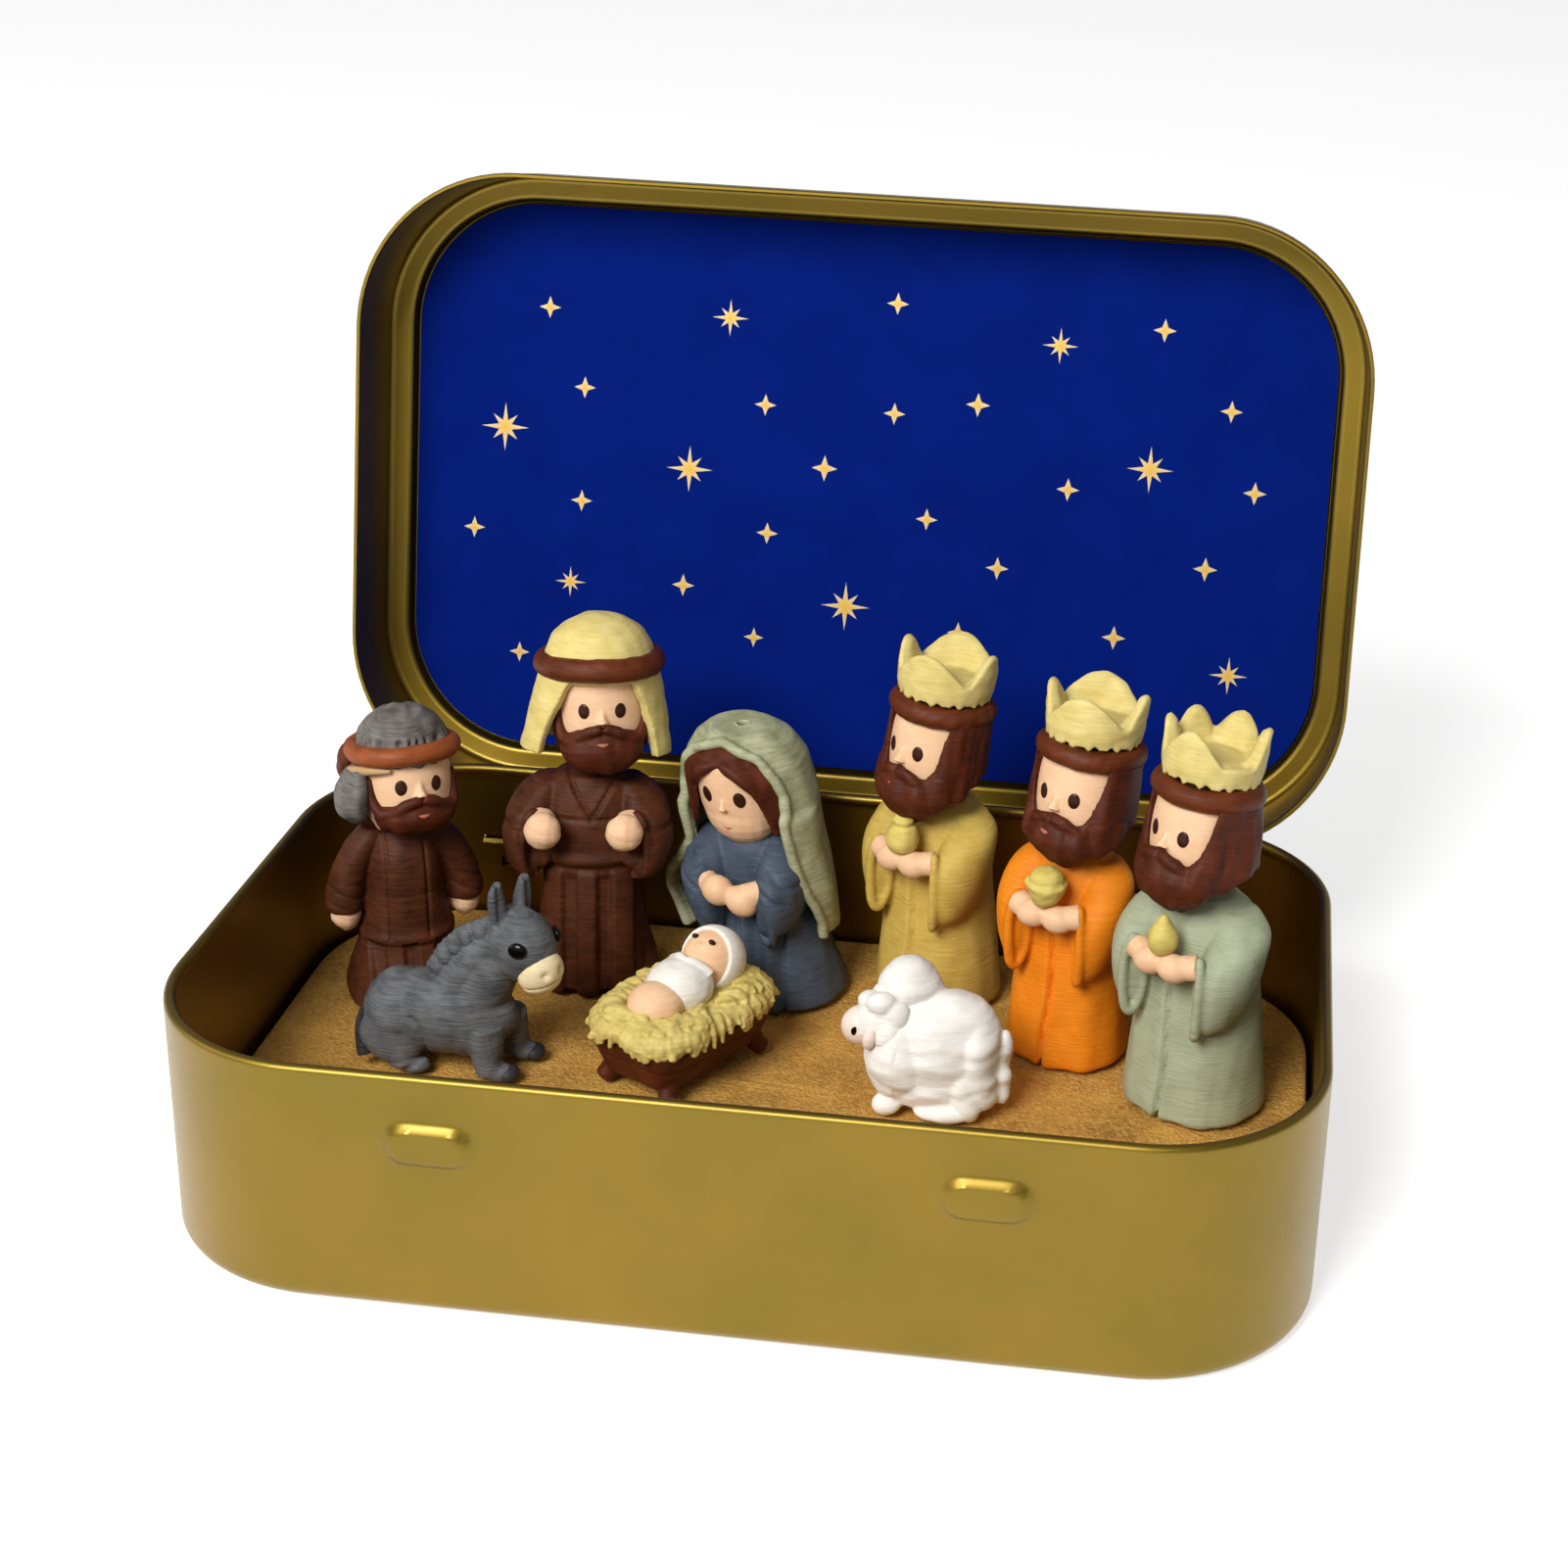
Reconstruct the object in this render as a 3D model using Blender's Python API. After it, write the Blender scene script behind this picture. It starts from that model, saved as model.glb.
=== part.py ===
"""Pocket nativity tin: a hinged tin, open, with a nativity scene of small printed pieces inside.

Metres, +Z up. The origin is the middle of the base's underside. The front of the tin faces -Y,
and the lid stands open at the back on its hinge.
"""
import math

import bmesh
import bpy
from mathutils import Matrix, Vector

MM = 0.001

# Faces that meet within these degrees are merged as one flat face after a cut, the first
# angle that keeps every edge shared by exactly two faces being the one used
FLAT_ANGLES = (2.0, 1.0, 0.5, 0.1)

# Tin: the drawn base and the sheet that both halves are pressed from
BASE_LENGTH = 94.6 * MM
BASE_WIDTH = 57.8 * MM
BASE_HEIGHT = 21.4 * MM
CORNER_RADIUS = 14.6 * MM
FOOT_RADIUS = 1.4 * MM
SHEET = 0.35 * MM
RIM_RADIUS = 0.5 * MM
CORNER_STEPS = 7

# Embossed bumps on the front wall, which the lid's edge rests on when the tin is shut
BUMP_LENGTH = 7.4 * MM
BUMP_HEIGHT = 3.9 * MM
BUMP_RISE = 0.55 * MM
BUMP_SPACING = 43.4 * MM
BUMP_BELOW_RIM = 5.9 * MM

# Lid
LID_CLEARANCE = 0.15 * MM
LID_OVERLAP = 4.1 * MM
LID_DEPTH = 11.3 * MM
LID_OPEN = math.radians(101.0)
HEM_WIDTH = 0.45 * MM
HEM_HEIGHT = 0.8 * MM
LEDGE_DEPTH = 9.4 * MM
LEDGE_WIDTH = 1.5 * MM
LID_CORNER = 1.1 * MM
HINGE_STANDOFF = 1.1 * MM

# Hinge clips, threaded through the base's back wall and curled round the lid's hem
CLIP_WIDTH = 6.0 * MM
CLIP_THICKNESS = 0.25 * MM
CLIP_LEG = 4.0 * MM
CLIP_BELOW_RIM = 8.0 * MM
CLIP_SLOT = 1.3 * MM
CLIP_SIDE_ROOM = 0.25 * MM
CLIP_WINDOW = (2.4 * MM, 1.1 * MM)

# Card and floor
CARD_THICKNESS = 0.3 * MM
CARD_MARGIN = 0.4 * MM
FLOOR_THICKNESS = 5.3 * MM
FLOOR_MARGIN = 0.6 * MM
FLOOR_EDGE = 0.5 * MM
SEAT_GAP = 0.3 * MM

# Grown-up figures: what they share
HEAD_RADIUS = 4.1 * MM
HEAD_HEIGHT = 8.4 * MM
BAND_LIFT = 0.5 * MM
CLOTH_THICKNESS = 0.8 * MM
HAND_RADIUS = 1.45 * MM
HEAD_TILT = math.radians(-8.0)

# Kings
KING_SHOULDER = 20.3 * MM
OCHRE_HEM_RADIUS = 5.8 * MM
ORANGE_HEM_RADIUS = 5.5 * MM
SAGE_HEM_RADIUS = 6.2 * MM
KING_HAND_SHARE = 0.77
KING_HEAD_TURN = math.radians(-11.0)
# Where each king's head sits: to its left, forward and up
OCHRE_HEAD = (0.0, 2.2 * MM, 20.7 * MM)
ORANGE_HEAD = (0.5 * MM, 1.0 * MM, 20.9 * MM)
SAGE_HEAD = (-0.4 * MM, 2.1 * MM, 21.5 * MM)
KING_BAND = (4.35 * MM, 0.75 * MM)
CROWN_HEIGHT = 5.7 * MM
CROWN_VALLEY = 3.3 * MM
CROWN_RADIUS = 4.7 * MM
CROWN_WALL = 0.8 * MM
CROWN_POINTS = 4
SAGE_CROWN_POINTS = 5
BEARD_LENGTH = 3.5 * MM
GIFT_HEIGHT = 3.4 * MM
GIFT_RADIUS = 1.5 * MM

# Father
FATHER_SHOULDER = 21.1 * MM
FATHER_HEM_RADIUS = 5.9 * MM
FATHER_FIST_RADIUS = 1.65 * MM
FATHER_ARM_SPREAD = 1.25
FATHER_HAND_SHARE = 0.825
FATHER_HEAD_BASE = 22.5 * MM
FATHER_HEAD_ASIDE = 1.1 * MM
FATHER_HEAD_TURN = math.radians(8.0)
FATHER_BAND = (5.15 * MM, 0.95 * MM)
FATHER_DOME = (4.2 * MM, 4.95 * MM)
SCARF_DROP = 7.5 * MM

# Shepherd
SHEPHERD_SHOULDER = 17.9 * MM
SHEPHERD_HEM_RADIUS = 6.3 * MM
SHEPHERD_SLEEVE_RADIUS = 1.75 * MM
SHEPHERD_HEAD_BASE = 15.6 * MM
SHEPHERD_HEAD_FORWARD = 1.0 * MM
SHEPHERD_HEAD_ASIDE = 0.7 * MM
SHEPHERD_HEAD_TURN = math.radians(10.0)
SHEPHERD_HEAD_ROLL = math.radians(2.0)
SHEPHERD_BEARD = 2.3 * MM
SHEPHERD_BAND = (4.75 * MM, 0.80 * MM)
SHEPHERD_DOME = (3.8 * MM, 4.45 * MM)

# Mother
MOTHER_SHOULDER = 16.6 * MM
MOTHER_HEM_RADIUS = 6.6 * MM
MOTHER_ARM_SPREAD = 0.8
MOTHER_LEAN = (0.09, 0.05)
MOTHER_HEAD_BASE = 15.7 * MM
HAIR_THICKNESS = 0.55 * MM
VEIL_HEIGHT = 26.1 * MM
VEIL_HEM_FRONT = 12.5 * MM
VEIL_HEM_BACK = 4.5 * MM
VEIL_HEM_RADIUS = 7.8 * MM
VEIL_SPREAD = 0.80

# Animals and manger
DONKEY_LENGTH = 13.6 * MM
DONKEY_BACK = 9.1 * MM
DONKEY_EAR = 5.2 * MM
DONKEY_HEAD_LENGTH = 7.3 * MM
DONKEY_HEAD_LEVEL = 12.5 * MM
DONKEY_HEAD_TURN = math.radians(-33.0)
SHEEP_LENGTH = 12.2 * MM
SHEEP_BACK = 11.0 * MM
TROUGH_LENGTH = 15.6 * MM
TROUGH_WIDTH = 10.2 * MM
TROUGH_HEIGHT = 3.4 * MM
TROUGH_LEG = 1.9 * MM
TROUGH_TAPER = 1.3 * MM
STRAW_THICKNESS = 1.9 * MM
STRAW_OVERHANG = 0.9 * MM
CHILD_HEAD_RADIUS = 2.8 * MM
CHILD_LENGTH = 10.4 * MM

# Where each piece stands, as shares of the floor's half length and half width, and its heading
# in degrees, counted anticlockwise from above, with 0 facing the front
STANDS = {
    "shepherd": (-0.785, 0.390, 28.0),
    "father": (-0.441, 0.605, 8.0),
    "mother": (-0.066, 0.645, -16.0),
    "king_ochre": (0.255, 0.700, -30.0),
    "king_orange": (0.532, 0.405, -22.0),
    "king_sage": (0.785, 0.165, -32.0),
    "donkey": (-0.624, -0.055, 0.0),
    "manger": (-0.183, 0.060, -29.0),
    "sheep": (0.293, -0.020, 0.0),
}

# Derived places
FLOOR_BOTTOM = SHEET + SEAT_GAP
FLOOR_TOP = FLOOR_BOTTOM + FLOOR_THICKNESS
FLOOR_LENGTH = BASE_LENGTH - 2 * (SHEET + FLOOR_MARGIN)
FLOOR_WIDTH = BASE_WIDTH - 2 * (SHEET + FLOOR_MARGIN)
CLIP_SPACING = BASE_LENGTH - 2 * CORNER_RADIUS - CLIP_WIDTH / 2
HINGE_Y = BASE_WIDTH / 2 + HINGE_STANDOFF
HINGE_Z = BASE_HEIGHT - LID_OVERLAP + HEM_HEIGHT / 2
LID_LENGTH = BASE_LENGTH + 2 * (LID_CLEARANCE + HEM_WIDTH)
LID_WIDTH = HINGE_Y + HEM_WIDTH / 2 + BASE_WIDTH / 2 + LID_CLEARANCE + HEM_WIDTH
LID_RADIUS = CORNER_RADIUS + LID_CLEARANCE + HEM_WIDTH


def clear_scene():
    """Remove whatever objects the file opens with."""
    for item in list(bpy.data.objects):
        bpy.data.objects.remove(item, do_unlink=True)


def finish_mesh(name, bm):
    """Turn a bmesh into a linked object of triangles with its faces pointing out."""
    bmesh.ops.recalc_face_normals(bm, faces=bm.faces)
    bmesh.ops.triangulate(bm, faces=bm.faces)
    mesh = bpy.data.meshes.new(name)
    bm.to_mesh(mesh)
    bm.free()
    item = bpy.data.objects.new(name, mesh)
    bpy.context.scene.collection.objects.link(item)
    return item


def bridge_rings(bm, rings, closed=False):
    """Join neighbouring rings of vertices with quads, and cap the ends unless it is closed."""
    pairs = list(zip(rings, rings[1:]))
    if closed:
        pairs.append((rings[-1], rings[0]))
    for low, high in pairs:
        for i in range(len(low)):
            j = (i + 1) % len(low)
            bm.faces.new((low[i], low[j], high[j], high[i]))
    if not closed:
        bm.faces.new(list(reversed(rings[0])))
        bm.faces.new(rings[-1])


def rounded_outline(length, width, radius, inset):
    """Points of a rounded rectangle, drawn in by an inset, anticlockwise from above."""
    points = []
    half_x = length / 2 - inset
    half_y = width / 2 - inset
    corner = max(radius - inset, 0.3 * MM)
    for quarter, (side_x, side_y) in enumerate(((1, 1), (-1, 1), (-1, -1), (1, -1))):
        for step in range(CORNER_STEPS + 1):
            angle = math.radians(90 * (quarter + step / CORNER_STEPS))
            x = side_x * (half_x - corner) + corner * math.cos(angle)
            y = side_y * (half_y - corner) + corner * math.sin(angle)
            points.append((x, y))
    return points


def drawn_tray(name, length, width, radius, profile):
    """A tray whose wall follows a profile of (inset, height) all round, closed at both ends."""
    bm = bmesh.new()
    rings = []
    for inset, height in profile:
        outline = rounded_outline(length, width, radius, inset)
        rings.append([bm.verts.new((x, y, height)) for x, y in outline])
    bridge_rings(bm, rings)
    return finish_mesh(name, bm)


def arc(centre_inset, centre_height, radius, start, end, steps):
    """Points of an arc in the (inset, height) plane, angles in degrees."""
    points = []
    for step in range(steps + 1):
        angle = math.radians(start + (end - start) * step / steps)
        points.append((centre_inset + radius * math.cos(angle), centre_height + radius * math.sin(angle)))
    return points


def loft(name, rings, sides, power=2.0, grow=0.0):
    """A closed solid through level rings (x, y, z, half x, half y); grow makes a larger copy."""
    bm = bmesh.new()
    loops = []
    last = len(rings) - 1
    for index, (x, y, z, half_x, half_y) in enumerate(rings):
        lift = -grow if index == 0 else grow if index == last else 0.0
        loop = []
        for side in range(sides):
            angle = 2 * math.pi * side / sides
            c = math.cos(angle)
            s = math.sin(angle)
            px = x + (half_x + grow) * math.copysign(abs(c) ** (2 / power), c)
            py = y + (half_y + grow) * math.copysign(abs(s) ** (2 / power), s)
            loop.append(bm.verts.new((px, py, z + lift)))
        loops.append(loop)
    bridge_rings(bm, loops)
    return finish_mesh(name, bm)


def limb(name, points, sides, grow=0.0):
    """A closed tube through (centre, radius) points, each ring square to the path."""
    bm = bmesh.new()
    loops = []
    centres = [Vector(point) for point, radius in points]
    last = len(points) - 1
    for index, (point, radius) in enumerate(points):
        before = centres[max(index - 1, 0)]
        after = centres[min(index + 1, last)]
        along = (after - before).normalized()
        centre = centres[index]
        if index == 0:
            centre = centre - along * grow
        if index == last:
            centre = centre + along * grow
        side_axis = along.cross(Vector((0.31, 0.87, 0.39))).normalized()
        up_axis = side_axis.cross(along)
        loop = []
        for side in range(sides):
            angle = 2 * math.pi * side / sides
            reach = radius + grow
            offset = side_axis * math.cos(angle) * reach + up_axis * math.sin(angle) * reach
            loop.append(bm.verts.new(centre + offset))
        loops.append(loop)
    bridge_rings(bm, loops)
    return finish_mesh(name, bm)


def ball(name, centre, radii, segments=10, rings=7, grow=0.0):
    """An egg-shaped ball; grow makes a larger copy."""
    bm = bmesh.new()
    bmesh.ops.create_uvsphere(bm, u_segments=segments, v_segments=rings, radius=1.0)
    size = [radius + grow for radius in radii]
    bmesh.ops.scale(bm, vec=size, verts=bm.verts)
    bmesh.ops.translate(bm, vec=centre, verts=bm.verts)
    return finish_mesh(name, bm)


def hoop(name, centre, major, minor, segments=18, sides=6, grow=0.0):
    """A level ring of round section."""
    bm = bmesh.new()
    loops = []
    for segment in range(segments):
        turn = 2 * math.pi * segment / segments
        loop = []
        for side in range(sides):
            angle = 2 * math.pi * side / sides
            reach = major + (minor + grow) * math.cos(angle)
            height = centre[2] + (minor + grow) * math.sin(angle)
            px = centre[0] + reach * math.cos(turn)
            py = centre[1] + reach * math.sin(turn)
            loop.append(bm.verts.new((px, py, height)))
        loops.append(loop)
    bridge_rings(bm, loops, closed=True)
    return finish_mesh(name, bm)


def block(name, low, high):
    """A plain block between two corners, used as a cutter."""
    bm = bmesh.new()
    bmesh.ops.create_cube(bm, size=1.0)
    size = [high[i] - low[i] for i in range(3)]
    middle = [(high[i] + low[i]) / 2 for i in range(3)]
    bmesh.ops.scale(bm, vec=size, verts=bm.verts)
    bmesh.ops.translate(bm, vec=middle, verts=bm.verts)
    return finish_mesh(name, bm)


def prism(name, outline, low, high, axis):
    """An outline in the plane across an axis (X or Y), extruded along it from low to high."""
    bm = bmesh.new()
    loops = []
    for depth in (low, high):
        loop = []
        for a, b in outline:
            loop.append(bm.verts.new((depth, a, b) if axis == "X" else (a, depth, b)))
        loops.append(loop)
    bridge_rings(bm, loops)
    return finish_mesh(name, bm)


def combine(target, tool, operation):
    """Apply one Boolean to the target and remove the tool."""
    modifier = target.modifiers.new(operation, "BOOLEAN")
    modifier.operation = operation
    modifier.object = tool
    depsgraph = bpy.context.evaluated_depsgraph_get()
    mesh = bpy.data.meshes.new_from_object(target.evaluated_get(depsgraph))
    target.modifiers.clear()
    bm = bmesh.new()
    bm.from_mesh(mesh)
    bmesh.ops.triangulate(bm, faces=bm.faces)
    bm.to_mesh(mesh)
    bm.free()
    target.data = mesh
    bpy.data.objects.remove(tool, do_unlink=True)
    return target


def join(target, *tools):
    """Unite the tools with the target."""
    for tool in tools:
        combine(target, tool, "UNION")
    return target


def cut(target, *tools):
    """Take the tools out of the target."""
    for tool in tools:
        combine(target, tool, "DIFFERENCE")
    return target


def merge_flat_faces(mesh):
    """Merge the slivers that cuts leave on flat ground, keeping every edge between two faces."""
    for angle in FLAT_ANGLES:
        bm = bmesh.new()
        bm.from_mesh(mesh)
        bmesh.ops.dissolve_limit(bm, angle_limit=math.radians(angle), verts=bm.verts, edges=bm.edges)
        bmesh.ops.triangulate(bm, faces=bm.faces)
        closed = all(edge.is_manifold for edge in bm.edges)
        if closed:
            bm.to_mesh(mesh)
        bm.free()
        if closed:
            return


def tilted(item, matrix):
    """Move an unparented piece's mesh by a matrix."""
    item.data.transform(matrix)
    return item


def finish_material(name, colour, roughness, metallic):
    """A plain surface colour for one kind of piece."""
    existing = bpy.data.materials.get(name)
    if existing:
        return existing
    material = bpy.data.materials.new(name)
    material.use_nodes = True
    shader = material.node_tree.nodes["Principled BSDF"]
    shader.inputs["Base Color"].default_value = (*colour, 1.0)
    shader.inputs["Roughness"].default_value = roughness
    shader.inputs["Metallic"].default_value = metallic
    return material


SURFACES = {
    "gold_lacquer": ((0.36, 0.24, 0.04), 0.32, 1.0),
    "blue_card": ((0.0, 0.01, 0.16), 0.6, 0.0),
    "sand": ((0.42, 0.25, 0.06), 0.9, 0.0),
    "skin": ((0.83, 0.57, 0.38), 0.55, 0.0),
    "brown_print": ((0.10, 0.035, 0.018), 0.55, 0.0),
    "band_print": ((0.16, 0.05, 0.024), 0.5, 0.0),
    "cream_print": ((0.72, 0.62, 0.28), 0.6, 0.0),
    "ochre_print": ((0.44, 0.34, 0.09), 0.55, 0.0),
    "orange_print": ((0.66, 0.20, 0.012), 0.5, 0.0),
    "sage_print": ((0.33, 0.36, 0.22), 0.55, 0.0),
    "slate_print": ((0.05, 0.07, 0.11), 0.55, 0.0),
    "veil_print": ((0.25, 0.28, 0.20), 0.55, 0.0),
    "grey_print": ((0.12, 0.12, 0.12), 0.6, 0.0),
    "white_print": ((0.80, 0.79, 0.76), 0.55, 0.0),
}


def dress(item, name, surface, parent):
    """Give a finished piece its name, surface, smooth shading and parent."""
    merge_flat_faces(item.data)
    item.name = name
    item.data.name = name
    item.data.materials.clear()
    item.data.materials.append(finish_material(surface, *SURFACES[surface]))
    item.data.shade_smooth()
    item.data.set_sharp_from_angle(angle=math.radians(40))
    item.parent = parent
    return item


def stand_point(name, location, turn=(0.0, 0.0, 0.0)):
    """An empty that a group of pieces moves with."""
    empty = bpy.data.objects.new(name, None)
    empty.empty_display_size = 4 * MM
    empty.location = location
    empty.rotation_euler = turn
    bpy.context.scene.collection.objects.link(empty)
    return empty


def figure_stand(name):
    """The standing point of one figure on the floor."""
    share_x, share_y, heading = STANDS[name]
    x = share_x * FLOOR_LENGTH / 2
    y = share_y * FLOOR_WIDTH / 2
    return stand_point(name + "_stand", (x, y, FLOOR_TOP + SEAT_GAP), (0.0, 0.0, math.radians(heading)))


def strip(points, thickness):
    """The closed outline of a bent strip, from its centre line."""
    left = []
    right = []
    last = len(points) - 1
    for index, point in enumerate(points):
        before = Vector(points[max(index - 1, 0)])
        after = Vector(points[min(index + 1, last)])
        along = (after - before).normalized()
        across = Vector((-along.y, along.x)) * thickness / 2
        left.append(tuple(Vector(point) + across))
        right.append(tuple(Vector(point) - across))
    return left + list(reversed(right))


def base_tin():
    """The drawn base: rolled rim, rounded foot, two embossed bumps and two hinge slots."""
    foot = FOOT_RADIUS
    rim_height = BASE_HEIGHT - RIM_RADIUS
    profile = arc(foot, foot, foot, 270, 180, 4)
    profile += arc(RIM_RADIUS, rim_height, RIM_RADIUS, 180, 0, 5)
    profile += [(SHEET, rim_height - RIM_RADIUS * 1.4)]
    profile += arc(foot, foot, foot - SHEET, 180, 270, 3)
    tin = drawn_tray("base_tin", BASE_LENGTH, BASE_WIDTH, CORNER_RADIUS, profile)
    for side in (-1, 1):
        join(tin, front_bump(side * BUMP_SPACING / 2))
    slot_half = CLIP_WIDTH / 2 + CLIP_SIDE_ROOM
    slot_low = clip_crossing() - CLIP_SLOT / 2
    back = BASE_WIDTH / 2
    for side in (-1, 1):
        x = side * CLIP_SPACING / 2
        low = (x - slot_half, back - 2 * SHEET, slot_low)
        high = (x + slot_half, back + SHEET, slot_low + CLIP_SLOT)
        cut(tin, block("slot", low, high))
    return tin


def front_bump(x):
    """One pressed bump: an oblong with round ends that swells out of the front wall."""
    bm = bmesh.new()
    rings = []
    levels = ((-0.5 * SHEET, 0.0), (0.35 * BUMP_RISE, 0.10), (0.8 * BUMP_RISE, 0.35), (BUMP_RISE, 0.75))
    z = BASE_HEIGHT - BUMP_BELOW_RIM
    end = BUMP_HEIGHT / 2
    straight = BUMP_LENGTH / 2 - end
    steps = 6
    for rise, inset_share in levels:
        reach = end - inset_share * MM
        ring = []
        for side in (1, -1):
            for step in range(steps + 1):
                angle = math.radians(-90 + 180 * step / steps)
                px = x + side * (straight + reach * math.cos(angle))
                pz = z + side * reach * math.sin(angle)
                ring.append(bm.verts.new((px, -BASE_WIDTH / 2 - rise, pz)))
        rings.append(ring)
    bridge_rings(bm, rings)
    return finish_mesh("bump", bm)


def clip_crossing():
    """Height at which a hinge clip passes through the back wall."""
    return BASE_HEIGHT - CLIP_BELOW_RIM


def clip_curl():
    """Centre-line radius of a clip's curl round the lid's hem."""
    hem_reach = math.hypot(HEM_WIDTH, HEM_HEIGHT) / 2
    return hem_reach + CLIP_SIDE_ROOM + CLIP_THICKNESS / 2


def hinge_clip(x):
    """A bent strip: leg inside the back wall, through the slot, up outside, round the hem."""
    back = BASE_WIDTH / 2
    curl = clip_curl()
    inside = back - SHEET - SEAT_GAP - CLIP_THICKNESS / 2
    outside = HINGE_Y - curl
    crossing = clip_crossing()
    points = [(inside, crossing - CLIP_LEG), (inside, crossing - 0.2 * MM)]
    points += [(inside + 0.2 * MM, crossing), (outside - 0.2 * MM, crossing)]
    points += [(outside, crossing + 0.2 * MM)]
    steps = 12
    for step in range(steps + 1):
        angle = math.radians(180 - 300 * step / steps)
        points.append((HINGE_Y + curl * math.cos(angle), HINGE_Z + curl * math.sin(angle)))
    outline = strip(points, CLIP_THICKNESS)
    clip = prism("clip", outline, x - CLIP_WIDTH / 2, x + CLIP_WIDTH / 2, "X")
    window_x, window_z = CLIP_WINDOW
    middle = crossing - CLIP_LEG / 2
    low = (x - window_x / 2, inside - SHEET, middle - window_z / 2)
    high = (x + window_x / 2, inside + SHEET, middle + window_z / 2)
    return cut(clip, block("window", low, high))


def lid_tin():
    """The lid in its own frame: the hinge axis is the origin, shut, with the panel on top."""
    rim = -HEM_HEIGHT / 2
    skirt = HEM_WIDTH * 0.18
    inner = skirt + SHEET
    ledge = rim + LEDGE_DEPTH
    panel = rim + LID_DEPTH
    corner = LID_CORNER
    bead = inner + LEDGE_WIDTH
    bend = 0.25 * MM
    profile = [(HEM_WIDTH * 0.3, rim), (0.0, rim + HEM_HEIGHT * 0.3), (0.0, rim + HEM_HEIGHT * 0.75)]
    profile += [(skirt, rim + HEM_HEIGHT)]
    profile += arc(skirt + corner, ledge + SHEET - corner, corner, 180, 90, 3)
    profile += [(bead + SHEET - bend, ledge + SHEET), (bead + SHEET, panel - bend)]
    profile += [(bead + SHEET + bend, panel)]
    profile += [(bead + 2 * SHEET + bend, panel - SHEET), (bead + 2 * SHEET, panel - SHEET - bend)]
    profile += [(bead + SHEET + bend, ledge), (inner + corner - SHEET, ledge)]
    profile += [(inner, ledge - corner + SHEET), (inner, rim + HEM_HEIGHT)]
    profile += [(HEM_WIDTH, rim + HEM_HEIGHT * 0.75), (HEM_WIDTH, rim + HEM_HEIGHT * 0.3)]
    profile += [(HEM_WIDTH * 0.7, rim)]
    tin = lid_shell(profile)
    tilted(tin, Matrix.Translation((0.0, HEM_WIDTH / 2 - LID_WIDTH / 2, 0.0)))
    window_half = CLIP_WIDTH / 2 + CLIP_SIDE_ROOM
    window_top = clip_curl() + CLIP_THICKNESS / 2 + CLIP_SIDE_ROOM
    for side in (-1, 1):
        x = side * CLIP_SPACING / 2
        low = (x - window_half, -HEM_WIDTH, HEM_HEIGHT / 2)
        high = (x + window_half, HEM_WIDTH, window_top)
        cut(tin, block("hem_window", low, high))
    return tin


def lid_shell(profile):
    """Close the lid's profile round the hem and fill both faces of the panel."""
    bm = bmesh.new()
    rings = []
    for inset, height in profile:
        outline = rounded_outline(LID_LENGTH, LID_WIDTH, LID_RADIUS, inset)
        rings.append([bm.verts.new((x, y, height)) for x, y in outline])
    panel_outer = max(range(len(profile)), key=lambda index: profile[index][1])
    panel_inner = panel_outer + 1
    for index in range(len(rings)):
        if index == panel_outer:
            continue
        low = rings[index]
        high = rings[(index + 1) % len(rings)]
        for i in range(len(low)):
            j = (i + 1) % len(low)
            bm.faces.new((low[i], low[j], high[j], high[i]))
    bm.faces.new(rings[panel_outer])
    bm.faces.new(list(reversed(rings[panel_inner])))
    return finish_mesh("lid_tin", bm)


def panel_inset():
    """How far the recess that holds the card lies inside the lid's outline."""
    return HEM_WIDTH * 0.18 + SHEET + LEDGE_WIDTH + 2 * SHEET


def sky_card():
    """The card, laid in the recess of the lid's panel, in the lid's own frame."""
    inset = panel_inset() + CARD_MARGIN
    top = LID_DEPTH - HEM_HEIGHT / 2 - SHEET - SEAT_GAP
    profile = [(inset, top - CARD_THICKNESS), (inset, top)]
    card = drawn_tray("sky_card", LID_LENGTH, LID_WIDTH, LID_RADIUS, profile)
    return tilted(card, Matrix.Translation((0.0, HEM_WIDTH / 2 - LID_WIDTH / 2, 0.0)))


def sand_floor():
    """The raised floor block that the figures stand on, with a slightly rounded top edge."""
    inset = SHEET + FLOOR_MARGIN
    low = FOOT_RADIUS
    profile = [(inset + low, FLOOR_BOTTOM), (inset, FLOOR_BOTTOM + low), (inset, FLOOR_TOP - FLOOR_EDGE)]
    profile += [(inset + FLOOR_EDGE * 0.3, FLOOR_TOP - FLOOR_EDGE * 0.3), (inset + FLOOR_EDGE, FLOOR_TOP)]
    return drawn_tray("sand_floor", BASE_LENGTH, BASE_WIDTH, CORNER_RADIUS, profile)


# Robe outline: share of the shoulder height, share of the hem radius, depth against width
ROBE_PROFILE = (
    (0.00, 0.96, 0.93),
    (0.05, 1.00, 0.93),
    (0.33, 0.92, 0.92),
    (0.60, 0.82, 0.90),
    (0.80, 0.82, 0.84),
    (0.94, 0.66, 0.80),
    (1.00, 0.40, 0.90),
)
MOTHER_PROFILE = (
    (0.00, 0.97, 0.92),
    (0.06, 1.00, 0.92),
    (0.35, 0.82, 0.90),
    (0.62, 0.66, 0.90),
    (0.84, 0.62, 0.86),
    (0.95, 0.50, 0.86),
    (1.00, 0.34, 0.95),
)
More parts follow.
